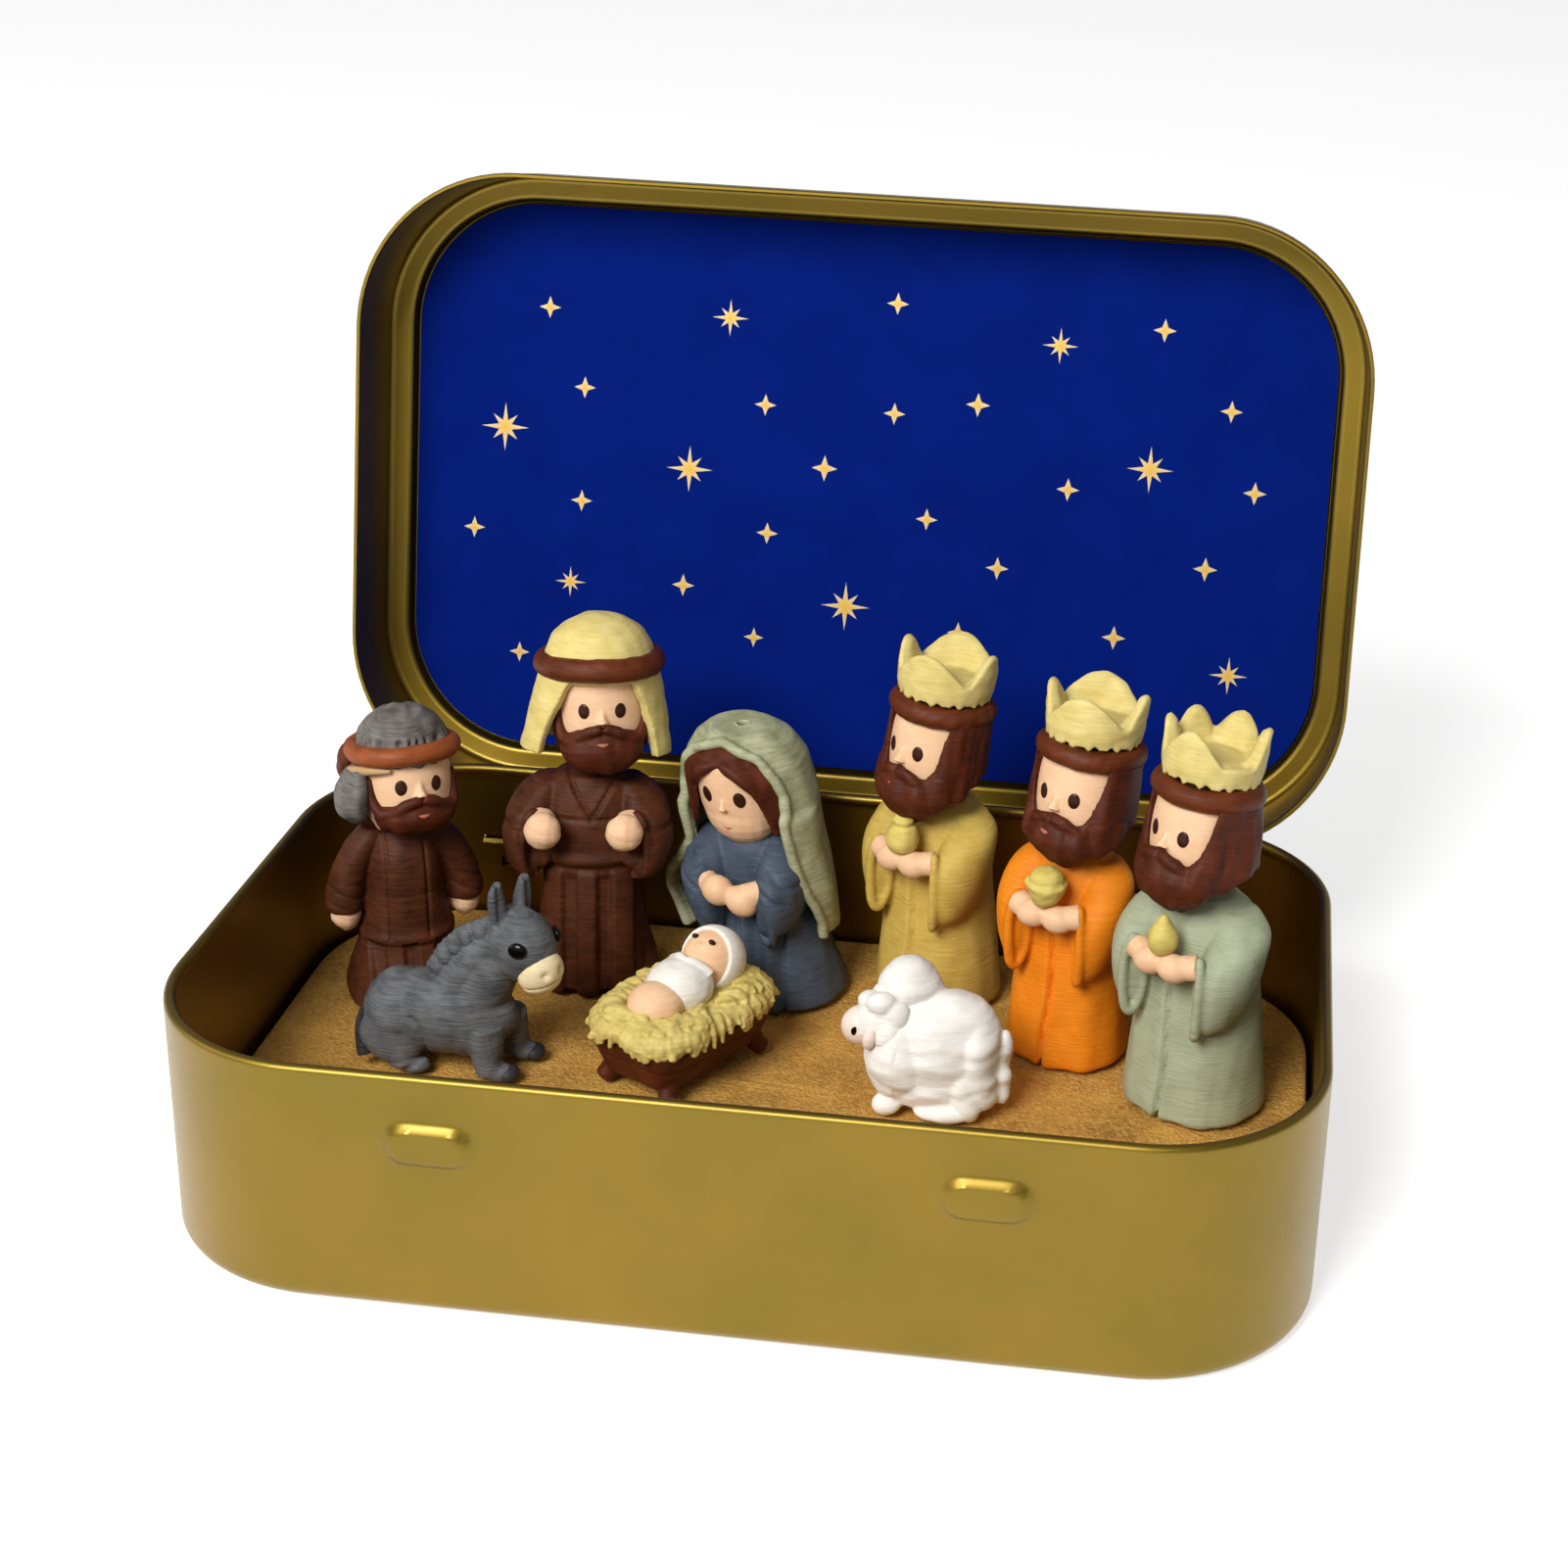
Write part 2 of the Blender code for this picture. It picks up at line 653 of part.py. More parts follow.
# Folded sleeve: shares of the shoulder height, then of the hem radius: out, forward, wide, deep
FOLDED_SLEEVE = (
    (0.470, 0.58, 0.60, 0.14, 0.24),
    (0.520, 0.64, 0.56, 0.25, 0.40),
    (0.640, 0.69, 0.46, 0.36, 0.56),
    (0.780, 0.72, 0.36, 0.38, 0.58),
    (0.890, 0.68, 0.14, 0.36, 0.44),
    (0.965, 0.51, 0.00, 0.24, 0.28),
)
# Straight sleeve: shares of the shoulder height, of the hem radius out, of the sleeve radius
STRAIGHT_SLEEVE = (
    (0.520, 0.84, 0.80),
    (0.55, 0.84, 0.96),
    (0.72, 0.78, 1.00),
    (0.87, 0.64, 0.96),
    (0.97, 0.46, 0.62),
)
ROBE_SIDES = 14
SLEEVE_SIDES = 8


def robe(profile, shoulder, hem, grow=0.0):
    """The body of a robe."""
    rings = [(0.0, 0.0, high * shoulder, wide * hem, wide * deep * hem) for high, wide, deep in profile]
    return loft("robe", rings, ROBE_SIDES, 2.2, grow)


def sleeve(side, rings, grow=0.0):
    """One sleeve; the rings are given for the figure's left and mirrored for its right."""
    mirrored = [(side * x, y, z, half_x, half_y) for x, y, z, half_x, half_y in rings]
    return loft("sleeve", mirrored, SLEEVE_SIDES, 2.0, grow)


def folded_sleeve(shoulder, hem, spread, fullness):
    """Rings of a wide sleeve that comes forward at the waist and hangs below the hand."""
    rings = []
    for high, out, forward, wide, deep in FOLDED_SLEEVE:
        half_x = wide * hem * fullness
        rings.append((out * hem * spread, -forward * hem, high * shoulder, half_x, deep * hem))
    return rings


def straight_sleeve(shoulder, hem, radius):
    """Rings of a narrow sleeve that hangs at the side."""
    rings = []
    for high, out, wide in STRAIGHT_SLEEVE:
        rings.append((out * hem, 0.0, high * shoulder, wide * radius, wide * radius))
    return rings


def head_matrix(base, tilt, roll=0.0, forward=0.0, aside=0.0, turn=0.0):
    """Place of the head's own frame, whose origin is the middle of the chin line."""
    spin = Matrix.Rotation(turn, 4, "Z") @ Matrix.Rotation(tilt, 4, "X") @ Matrix.Rotation(roll, 4, "Y")
    return Matrix.Translation((aside, -forward, base)) @ spin


def head(grow=0.0):
    """The head: a rounded block with a flat top, from the chin at 0 to HEAD_HEIGHT."""
    outline = ((0.0, 0.42), (0.10, 0.76), (0.30, 0.97), (0.55, 1.02), (0.80, 1.0), (0.94, 0.93), (1.0, 0.84))
    rings = []
    for high, wide in outline:
        rings.append((0.0, 0.0, high * HEAD_HEIGHT, wide * HEAD_RADIUS, wide * HEAD_RADIUS))
    return loft("head", rings, 12, 2.0, grow)


def band(sizes, grow=0.0):
    """The rolled headband, round the top edge of the head."""
    reach, thick = sizes
    return hoop("band", (0.0, 0.0, HEAD_HEIGHT + BAND_LIFT), reach, thick, grow=grow)


def crown(points, grow=0.0):
    """A cup-shaped crown with rounded points, one of them in front, hollow inside."""
    bm = bmesh.new()
    steps = 6
    count = points * steps
    bottom = HEAD_HEIGHT + SEAT_GAP
    hollow = bottom + CROWN_VALLEY * 0.45
    seat = CROWN_RADIUS * 0.90
    loops = [[], [], [], [], []]
    for index in range(count):
        turn = 2 * math.pi * index / count
        wave = abs(math.cos(points * (turn + math.pi / 2) / 2)) ** 0.75
        top = bottom + CROWN_VALLEY + (CROWN_HEIGHT - CROWN_VALLEY) * wave
        levels = (
            (seat, bottom),
            (CROWN_RADIUS * 0.97, bottom + CROWN_VALLEY * 0.6),
            (CROWN_RADIUS, top),
            (CROWN_RADIUS - CROWN_WALL, top - 0.15 * MM),
            (CROWN_RADIUS - 1.9 * CROWN_WALL, hollow),
        )
        for loop, (reach, height) in zip(loops, levels):
            loop.append(bm.verts.new((reach * math.cos(turn), reach * math.sin(turn), height)))
    bridge_rings(bm, loops)
    piece = finish_mesh("crown", bm)
    if grow:
        bpy.data.objects.remove(piece, do_unlink=True)
        ends = (bottom, bottom + CROWN_HEIGHT)
        rings = [(0.0, 0.0, height, CROWN_RADIUS, CROWN_RADIUS) for height in ends]
        return loft("crown", rings, 18, 2.0, grow)
    return piece


def beard_mass(length, grow=0.0, level=HEAD_HEIGHT * 0.18):
    """The beard: a rounded mass in front of and under the chin, in the head's frame."""
    radii = (HEAD_RADIUS * 0.88, HEAD_RADIUS * 0.72, length)
    centre = (0.0, -HEAD_RADIUS * 0.62, level)
    return ball("beard", centre, radii, 12, 7, grow)


def hair_mass(grow=0.0):
    """Shoulder-length hair round the sides and back of the head."""
    wide = HEAD_RADIUS * 1.17
    rings = (
        (0.0, 0.5 * MM, -0.9 * MM, wide * 0.70, wide * 0.64),
        (0.0, 0.5 * MM, 0.2 * MM, wide * 0.94, wide * 0.90),
        (0.0, 0.4 * MM, 2.2 * MM, wide * 1.02, wide * 1.0),
        (0.0, 0.3 * MM, HEAD_HEIGHT * 0.66, wide * 1.02, wide * 1.0),
        (0.0, 0.2 * MM, HEAD_HEIGHT - SEAT_GAP, wide * 0.96, wide * 0.95),
    )
    return loft("hair", rings, 12, 2.0, grow)


def face_window(low, half_low, half_high):
    """Cutter that bares the face: from a height up to above the band, between two cheeks."""
    high = HEAD_HEIGHT + 2 * MM
    outline = ((-half_low, low), (half_low, low), (half_high, high), (-half_high, high))
    return prism("face_window", outline, -3 * HEAD_RADIUS, -HEAD_RADIUS * 0.30, "Y")


def hands_folded(height, reach, grow=0.0):
    """Two hands that meet in front, as one piece."""
    radii = (HAND_RADIUS * 1.3, HAND_RADIUS * 0.88, HAND_RADIUS * 0.88)
    pair = []
    for side in (-1, 1):
        pair.append(ball("hands", (side * HAND_RADIUS * 0.86, -reach, height), radii, 8, 7, grow))
    return join(*pair)


def hand(centre, grow=0.0, radius=HAND_RADIUS):
    """A single hand as a small mitten."""
    return ball("hand", centre, (radius * 0.95, radius, radius), 8, 7, grow)


def gift(shape, height, reach, grow=0.0):
    """One of the three gifts: a tied bag, a lidded pot or a small flask."""
    outlines = {
        "bag": ((0.0, 0.80), (0.25, 1.0), (0.60, 0.80), (0.72, 0.55), (0.85, 0.66), (1.0, 0.40)),
        "pot": ((0.0, 0.66), (0.25, 1.06), (0.55, 1.16), (0.68, 0.98), (0.80, 1.02), (1.0, 0.35)),
        "flask": ((0.0, 0.62), (0.25, 0.86), (0.50, 0.82), (0.75, 0.50), (0.90, 0.30), (1.0, 0.16)),
    }
    rings = []
    for high, wide in outlines[shape]:
        rings.append((0.0, -reach, height + high * GIFT_HEIGHT, wide * GIFT_RADIUS, wide * GIFT_RADIUS))
    return loft("gift", rings, 10, 2.0, grow)


def king(name, surface, gift_shape, hem, points, head_place):
    """A crowned king: robe with wide sleeves, folded hands, gift, head, hair and beard, band, crown."""
    stand = figure_stand(name)
    aside, forward, base = head_place
    place = head_matrix(base, HEAD_TILT, 0.0, forward, aside, KING_HEAD_TURN)
    reach = hem + 0.3 * MM
    hand_height = KING_SHOULDER * KING_HAND_SHARE
    gift_height = hand_height + HAND_RADIUS * 0.86 + SEAT_GAP
    arm = folded_sleeve(KING_SHOULDER, hem, 1.0, 1.0)

    body = robe(ROBE_PROFILE, KING_SHOULDER, hem)
    for side in (-1, 1):
        join(body, sleeve(side, arm))
    cut(body, hands_folded(hand_height, reach, SEAT_GAP), gift(gift_shape, gift_height, reach, SEAT_GAP))
    cut(body, tilted(head(SEAT_GAP), place))

    hair = join(hair_mass(), beard_mass(BEARD_LENGTH))
    cut(hair, head(SEAT_GAP), band(KING_BAND, SEAT_GAP))
    cut(hair, face_window(HEAD_HEIGHT * 0.46, HEAD_RADIUS * 0.78, HEAD_RADIUS * 0.92))
    tilted(hair, place)
    cut(hair, robe(ROBE_PROFILE, KING_SHOULDER, hem, SEAT_GAP))
    cut(hair, gift(gift_shape, gift_height, reach, SEAT_GAP))
    for side in (-1, 1):
        cut(hair, sleeve(side, arm, SEAT_GAP))
    skin = cut(head(), band(KING_BAND, SEAT_GAP))
    top = cut(crown(points), band(KING_BAND, SEAT_GAP))
    for item in (skin, top):
        tilted(item, place)
    ring = tilted(band(KING_BAND), place)

    dress(body, name + "_robe", surface, stand)
    dress(hands_folded(hand_height, reach), name + "_hands", "skin", stand)
    dress(gift(gift_shape, gift_height, reach), name + "_gift", "cream_print", stand)
    dress(skin, name + "_head", "skin", stand)
    dress(hair, name + "_beard", "brown_print", stand)
    dress(ring, name + "_headband", "band_print", stand)
    dress(top, name + "_crown", "cream_print", stand)


def dome(sizes, grow=0.0):
    """A rounded cap that rises inside the headband, in the head's frame."""
    height, reach = sizes
    start = HEAD_HEIGHT + BAND_LIFT
    steps = 5
    rings = [(0.0, 0.0, HEAD_HEIGHT * 0.80, reach * 0.85, reach * 0.85)]
    for step in range(steps + 1):
        angle = math.radians(84 * step / steps)
        level = start + height * math.sin(angle)
        rings.append((0.0, 0.0, level, reach * math.cos(angle), reach * math.cos(angle)))
    return loft("dome", rings, 16, 2.0, grow)


def scarf_skirt(drop, reach, flare):
    """Outer form of a headcloth that hangs, flaring, from the band round the sides and back."""
    rings = (
        (0.0, 0.6 * MM, HEAD_HEIGHT - drop - 1.4 * MM, reach * flare, reach * 0.92),
        (0.0, 0.5 * MM, HEAD_HEIGHT - drop * 0.55, reach * (0.3 + 0.7 * flare), reach * 1.0),
        (0.0, 0.2 * MM, HEAD_HEIGHT + 0.4 * BAND_LIFT, reach, reach),
    )
    return loft("scarf_skirt", rings, 16, 2.0)


def father():
    """The father: belted robe with wide sleeves, fists, beard, headscarf and headband."""
    stand = figure_stand("father")
    place = head_matrix(FATHER_HEAD_BASE, HEAD_TILT, aside=FATHER_HEAD_ASIDE, turn=FATHER_HEAD_TURN)
    shoulder = FATHER_SHOULDER
    hem = FATHER_HEM_RADIUS
    arm = folded_sleeve(shoulder, hem, FATHER_ARM_SPREAD, 1.1)
    reach = hem + 0.2 * MM
    fists = [(side * hem * 0.62, -reach, shoulder * FATHER_HAND_SHARE) for side in (-1, 1)]

    body = robe(ROBE_PROFILE, shoulder, hem)
    for side in (-1, 1):
        join(body, sleeve(side, arm))
    for fist in fists:
        cut(body, hand(fist, SEAT_GAP, FATHER_FIST_RADIUS))
    cut(body, tilted(head(SEAT_GAP), place))

    beard = cut(beard_mass(BEARD_LENGTH), head(SEAT_GAP))
    cut(beard, face_window(HEAD_HEIGHT * 0.46, HEAD_RADIUS * 2, HEAD_RADIUS * 2))
    cut(tilted(beard, place), robe(ROBE_PROFILE, shoulder, hem, SEAT_GAP))

    outer = HEAD_RADIUS + SEAT_GAP + CLOTH_THICKNESS
    scarf = join(scarf_skirt(SCARF_DROP, outer, 1.26), dome(FATHER_DOME))
    cut(scarf, head(SEAT_GAP), band(FATHER_BAND, SEAT_GAP))
    opening = (
        (-outer * 1.05, -HEAD_RADIUS),
        (outer * 1.05, -HEAD_RADIUS),
        (outer * 0.62, HEAD_HEIGHT * 0.93),
        (-outer * 0.62, HEAD_HEIGHT * 0.93),
    )
    cut(scarf, prism("opening", opening, -2 * outer, -outer * 0.12, "Y"))
    tilted(scarf, place)
    cut(scarf, robe(ROBE_PROFILE, shoulder, hem, SEAT_GAP))
    cut(scarf, tilted(beard_mass(BEARD_LENGTH, SEAT_GAP), place))
    for side in (-1, 1):
        cut(scarf, sleeve(side, arm, SEAT_GAP))
    skin = tilted(cut(head(), band(FATHER_BAND, SEAT_GAP)), place)

    dress(body, "father_robe", "brown_print", stand)
    for fist, side in zip(fists, ("right", "left")):
        dress(hand(fist, 0.0, FATHER_FIST_RADIUS), "father_hand_" + side, "skin", stand)
    dress(skin, "father_head", "skin", stand)
    dress(beard, "father_beard", "brown_print", stand)
    dress(scarf, "father_headscarf", "cream_print", stand)
    dress(tilted(band(FATHER_BAND), place), "father_headband", "band_print", stand)


def shepherd():
    """The shepherd: plain robe, arms at the sides, beard, cap with a hanging scarf, headband."""
    stand = figure_stand("shepherd")
    offset = (SHEPHERD_HEAD_FORWARD, SHEPHERD_HEAD_ASIDE)
    place = head_matrix(SHEPHERD_HEAD_BASE, HEAD_TILT, SHEPHERD_HEAD_ROLL, *offset, SHEPHERD_HEAD_TURN)
    shoulder = SHEPHERD_SHOULDER
    hem = SHEPHERD_HEM_RADIUS
    arm = straight_sleeve(shoulder, hem, SHEPHERD_SLEEVE_RADIUS)
    cuff = arm[0]
    hand_centre = (cuff[0] + 0.1 * MM, -0.2 * MM, cuff[2] - HAND_RADIUS * 0.45)
    hands = [(side * hand_centre[0], hand_centre[1], hand_centre[2]) for side in (-1, 1)]

    body = robe(ROBE_PROFILE, shoulder, hem * 0.98)
    for side in (-1, 1):
        join(body, sleeve(side, arm))
    for centre in hands:
        cut(body, hand(centre, SEAT_GAP))
    cut(body, tilted(head(SEAT_GAP), place))

    level = HEAD_HEIGHT * 0.34
    beard = cut(beard_mass(SHEPHERD_BEARD, 0.0, level), head(SEAT_GAP))
    cut(beard, face_window(HEAD_HEIGHT * 0.50, HEAD_RADIUS * 2, HEAD_RADIUS * 2))
    cut(tilted(beard, place), robe(ROBE_PROFILE, shoulder, hem * 0.98, SEAT_GAP))

    outer = HEAD_RADIUS + SEAT_GAP + CLOTH_THICKNESS * 0.8
    scarf = join(scarf_skirt(SCARF_DROP * 0.88, outer, 1.12), dome(SHEPHERD_DOME))
    bunch = (outer * 0.30, outer * 0.50, SCARF_DROP * 0.42)
    join(scarf, ball("bunch", (-outer * 1.05, -outer * 0.10, HEAD_HEIGHT * 0.48), bunch))
    cut(scarf, head(SEAT_GAP), band(SHEPHERD_BAND, SEAT_GAP))
    opening = (
        (-outer * 0.86, -HEAD_RADIUS),
        (outer * 0.86, -HEAD_RADIUS),
        (outer * 0.82, HEAD_HEIGHT * 0.93),
        (-outer * 0.82, HEAD_HEIGHT * 0.93),
    )
    cut(scarf, prism("opening", opening, -2 * outer, -outer * 0.10, "Y"))
    tilted(scarf, place)
    cut(scarf, robe(ROBE_PROFILE, shoulder, hem * 0.98, SEAT_GAP))
    cut(scarf, tilted(beard_mass(SHEPHERD_BEARD, SEAT_GAP, level), place))
    for side in (-1, 1):
        cut(scarf, sleeve(side, arm, SEAT_GAP))
    skin = tilted(cut(head(), band(SHEPHERD_BAND, SEAT_GAP)), place)

    dress(body, "shepherd_robe", "brown_print", stand)
    dress(hand(hands[0]), "shepherd_hand_right", "skin", stand)
    dress(hand(hands[1]), "shepherd_hand_left", "skin", stand)
    dress(skin, "shepherd_head", "skin", stand)
    dress(beard, "shepherd_beard", "brown_print", stand)
    dress(scarf, "shepherd_headscarf", "grey_print", stand)
    dress(tilted(band(SHEPHERD_BAND), place), "shepherd_headband", "band_print", stand)


def mother():
    """The mother: flared robe with wide sleeves, clasped hands, hair and a long veil."""
    stand = figure_stand("mother")
    place = head_matrix(MOTHER_HEAD_BASE, math.radians(4.0))
    shoulder = MOTHER_SHOULDER
    hem = MOTHER_HEM_RADIUS
    arm = folded_sleeve(shoulder, hem, MOTHER_ARM_SPREAD, 0.85)
    reach = hem * 0.92
    hand_height = shoulder * 0.72

    body = robe(MOTHER_PROFILE, shoulder, hem)
    for side in (-1, 1):
        join(body, sleeve(side, arm))
    cut(body, hands_folded(hand_height, reach, SEAT_GAP), tilted(head(SEAT_GAP), place))

    scalp = HEAD_RADIUS + SEAT_GAP + HAIR_THICKNESS
    crown_top = HEAD_HEIGHT + SEAT_GAP + HAIR_THICKNESS
    hair_rings = [
        (0.0, 0.2 * MM, HEAD_HEIGHT * 0.22, scalp, scalp),
        (0.0, 0.2 * MM, HEAD_HEIGHT * 0.72, scalp, scalp),
        (0.0, 0.2 * MM, HEAD_HEIGHT * 0.98, scalp * 0.92, scalp * 0.92),
        (0.0, 0.2 * MM, crown_top, scalp * 0.70, scalp * 0.70),
    ]
    hair = cut(loft("hair", hair_rings, 14), head(SEAT_GAP))
    parting = (
        (-HEAD_RADIUS * 0.96, 0.0),
        (HEAD_RADIUS * 0.96, 0.0),
        (HEAD_RADIUS * 0.88, HEAD_HEIGHT * 0.56),
        (HEAD_RADIUS * 0.50, HEAD_HEIGHT * 0.80),
        (0.0, HEAD_HEIGHT * 0.90),
        (-HEAD_RADIUS * 0.50, HEAD_HEIGHT * 0.80),
        (-HEAD_RADIUS * 0.88, HEAD_HEIGHT * 0.56),
    )
    cut(hair, prism("parting", parting, -3 * HEAD_RADIUS, -HEAD_RADIUS * 0.20, "Y"))
    tilted(hair, place)

    veil = veil_shell()
    hair_copy = tilted(loft("hair", hair_rings, 14, 2.0, SEAT_GAP), place)
    cut(veil, hair_copy, tilted(head(SEAT_GAP), place), robe(MOTHER_PROFILE, shoulder, hem, SEAT_GAP))
    for side in (-1, 1):
        cut(veil, sleeve(side, arm, SEAT_GAP))

    lean = Matrix.Identity(4)
    lean[0][2] = -MOTHER_LEAN[0]
    lean[1][2] = -MOTHER_LEAN[1]
    pieces = (
        (body, "mother_robe", "slate_print"),
        (hands_folded(hand_height, reach), "mother_hands", "skin"),
        (tilted(head(), place), "mother_head", "skin"),
        (hair, "mother_hair", "brown_print"),
        (veil, "mother_veil", "veil_print"),
    )
    for item, name, surface in pieces:
        dress(tilted(item, lean), name, surface, stand)


def veil_rings(shrink):
    """Rings of the veil's outer form, or of its inside when drawn in."""
    hem_z = VEIL_HEM_BACK - 1 * MM
    levels = (
        (0.00, 0.98, 0.78),
        (0.28, 0.95, 0.78),
        (0.52, 0.81, 0.76),
        (0.74, 0.79, 0.75),
        (0.88, 0.73, 0.70),
        (0.96, 0.57, 0.55),
        (1.00, 0.36, 0.35),
    )
    top = VEIL_HEIGHT - shrink
    rings = []
    for high, wide, deep in levels:
        z = hem_z + (top - hem_z) * high
        rings.append((0.0, 0.9 * MM, z, wide * VEIL_HEM_RADIUS - shrink, deep * VEIL_HEM_RADIUS - shrink))
    return rings


def veil_shell():
    """The veil: a thin cloth over the head, open in front, shorter at the front than behind."""
    shell = loft("veil", veil_rings(0.0), 18)
    inside = veil_rings(CLOTH_THICKNESS)
    x, y, z, half_x, half_y = inside[0]
    inside[0] = (x, y, z - 2 * MM, half_x, half_y)
    cut(shell, loft("inside", inside, 18))
    face_top = VEIL_HEIGHT - 1.9 * MM
    side_reach = VEIL_HEM_RADIUS * VEIL_SPREAD
    outline = (
        (-side_reach, 0.0),
        (side_reach, 0.0),
        (HEAD_RADIUS * 1.14, VEIL_HEIGHT * 0.60),
        (HEAD_RADIUS * 1.14, VEIL_HEIGHT * 0.82),
        (HEAD_RADIUS * 0.82, face_top - 1.2 * MM),
        (HEAD_RADIUS * 0.40, face_top),
        (-HEAD_RADIUS * 0.40, face_top),
        (-HEAD_RADIUS * 0.82, face_top - 1.2 * MM),
        (-HEAD_RADIUS * 1.14, VEIL_HEIGHT * 0.82),
        (-HEAD_RADIUS * 1.14, VEIL_HEIGHT * 0.60),
    )
    cut(shell, prism("front", outline, -3 * VEIL_HEM_RADIUS, -1.2 * MM, "Y"))
    far = 3 * VEIL_HEM_RADIUS
    slope = (VEIL_HEM_FRONT - VEIL_HEM_BACK) / (1.6 * VEIL_HEM_RADIUS)
    front_z = VEIL_HEM_FRONT + slope * (far - 0.5 * VEIL_HEM_RADIUS)
    back_z = VEIL_HEM_FRONT - slope * (far + 0.5 * VEIL_HEM_RADIUS)
    below = ((-far, front_z), (far, back_z), (far, -far), (-far, -far))
    return cut(shell, prism("below", below, -far, far, "X"))


def leg(points, sides):
    """A leg with level ends, through (centre, radius) points from the foot up."""
    rings = [(x, y, z, radius, radius) for (x, y, z), radius in points]
    return loft("leg", rings, sides, 2.0)


def donkey():
    """The donkey, facing right: body on four legs, neck, head and ears, and a pale muzzle."""
    stand = figure_stand("donkey")
    half = DONKEY_LENGTH / 2
    back = DONKEY_BACK
    body = ball("body", (-0.3 * MM, 0.0, back * 0.58), (half, back * 0.38, back * 0.42), 12, 9)
    for share, side in ((-0.50, -1), (-0.72, 1), (0.62, -1), (0.80, 1)):
        foot = (share * half + 0.4 * MM, side * back * 0.22, 0.0)
        knee = (share * half, side * back * 0.21, back * 0.20)
        hip = (share * half * 0.92, side * back * 0.15, back * 0.52)
        join(body, leg(((foot, back * 0.14), (knee, back * 0.15), (hip, back * 0.21)), 7))
    for side in (-1, 1):
        haunch = (back * 0.34, back * 0.19, back * 0.32)
        join(body, ball("haunch", (-half * 0.60, side * back * 0.19, back * 0.40), haunch, 10, 7))
    long = DONKEY_HEAD_LENGTH
    throat = (half * 0.50, 0.0, back * 0.76)
    nape = (half * 0.92, 0.0, DONKEY_HEAD_LEVEL - long * 0.04)
    join(body, limb("neck", ((throat, back * 0.33), (nape, long * 0.30)), 9))
    skull = (half * 1.02, 0.0, DONKEY_HEAD_LEVEL)
    join(body, donkey_skull(skull))
    for side in (-1, 1):
        root = from_skull(skull, -long * 0.20, side * long * 0.19, long * 0.26)
        middle = from_skull(skull, -long * 0.21, side * long * 0.24, long * 0.26 + DONKEY_EAR * 0.5)
        tip = from_skull(skull, -long * 0.19, side * long * 0.28, long * 0.26 + DONKEY_EAR)
        join(body, limb("ear", ((root, long * 0.10), (middle, long * 0.14), (tip, long * 0.04)), 6))
    cut(body, donkey_nose(skull, SEAT_GAP))
    dress(body, "donkey_body", "grey_print", stand)
    dress(donkey_nose(skull), "donkey_muzzle", "skin", stand)


def from_skull(skull, ahead, aside, up):
    """A point given ahead of, beside and above the middle of the donkey's head, which is turned."""
    turned = Matrix.Rotation(DONKEY_HEAD_TURN, 3, "Z") @ Vector((ahead, aside, 0.0))
    return (skull[0] + turned.x, skull[1] + turned.y, skull[2] + up)


def donkey_skull(centre):
    """The head, longer than it is high, turned to the front, with its nose down."""
    radii = (DONKEY_HEAD_LENGTH * 0.50, DONKEY_HEAD_LENGTH * 0.39, DONKEY_HEAD_LENGTH * 0.44)
    skull = ball("skull", (0.0, 0.0, 0.0), radii, 10, 8)
    turn = Matrix.Rotation(DONKEY_HEAD_TURN, 4, "Z") @ Matrix.Rotation(math.radians(28), 4, "Y")
    return tilted(skull, Matrix.Translation(centre) @ turn)


def donkey_nose(skull, grow=0.0):
    """The muzzle, a smaller ball on the front of the head."""
    centre = from_skull(skull, DONKEY_HEAD_LENGTH * 0.34, 0.0, -DONKEY_HEAD_LENGTH * 0.25)
    radius = DONKEY_HEAD_LENGTH * 0.29
    nose = ball("muzzle", (0.0, 0.0, 0.0), (DONKEY_HEAD_LENGTH * 0.24, radius, radius), 9, 7, grow)
    return tilted(nose, Matrix.Translation(centre) @ Matrix.Rotation(DONKEY_HEAD_TURN, 4, "Z"))


# Fleece outline: share of the back's height, share of the half length
FLEECE = ((0.09, 0.66), (0.18, 0.86), (0.34, 0.98), (0.58, 1.0), (0.78, 0.88), (0.92, 0.66), (1.00, 0.34))


def sheep():
    """The sheep, facing left: woolly body on short legs, and a head with a woolly top."""
    stand = figure_stand("sheep")
    half = SHEEP_LENGTH / 2
    back = SHEEP_BACK
    rings = [(0.4 * MM, 0.0, high * back, wide * half, wide * back * 0.46) for high, wide in FLEECE]
    body = loft("fleece", rings, 12, 2.4)
    for share, side in ((-0.52, -1), (-0.50, 1), (0.45, -1), (0.58, 1)):
        x = share * half
        y = side * back * 0.24
        join(body, leg((((x, y, 0.0), back * 0.13), ((x, y, back * 0.3), back * 0.14)), 7))
    tail = ball("tail", (half * 1.04, 0.0, back * 0.50), (back * 0.12, back * 0.14, back * 0.22), 7, 6)
    wool = ball("wool", (-half * 0.36, back * 0.12, back * 1.02), (back * 0.27, back * 0.25, back * 0.22), 9, 7)
    join(body, tail, wool)
    centre = (-half * 0.66, -back * 0.02, back * 0.73)
    cut(body, sheep_head(centre, SEAT_GAP))
    dress(body, "sheep_body", "white_print", stand)
    dress(sheep_head(centre), "sheep_head", "white_print", stand)


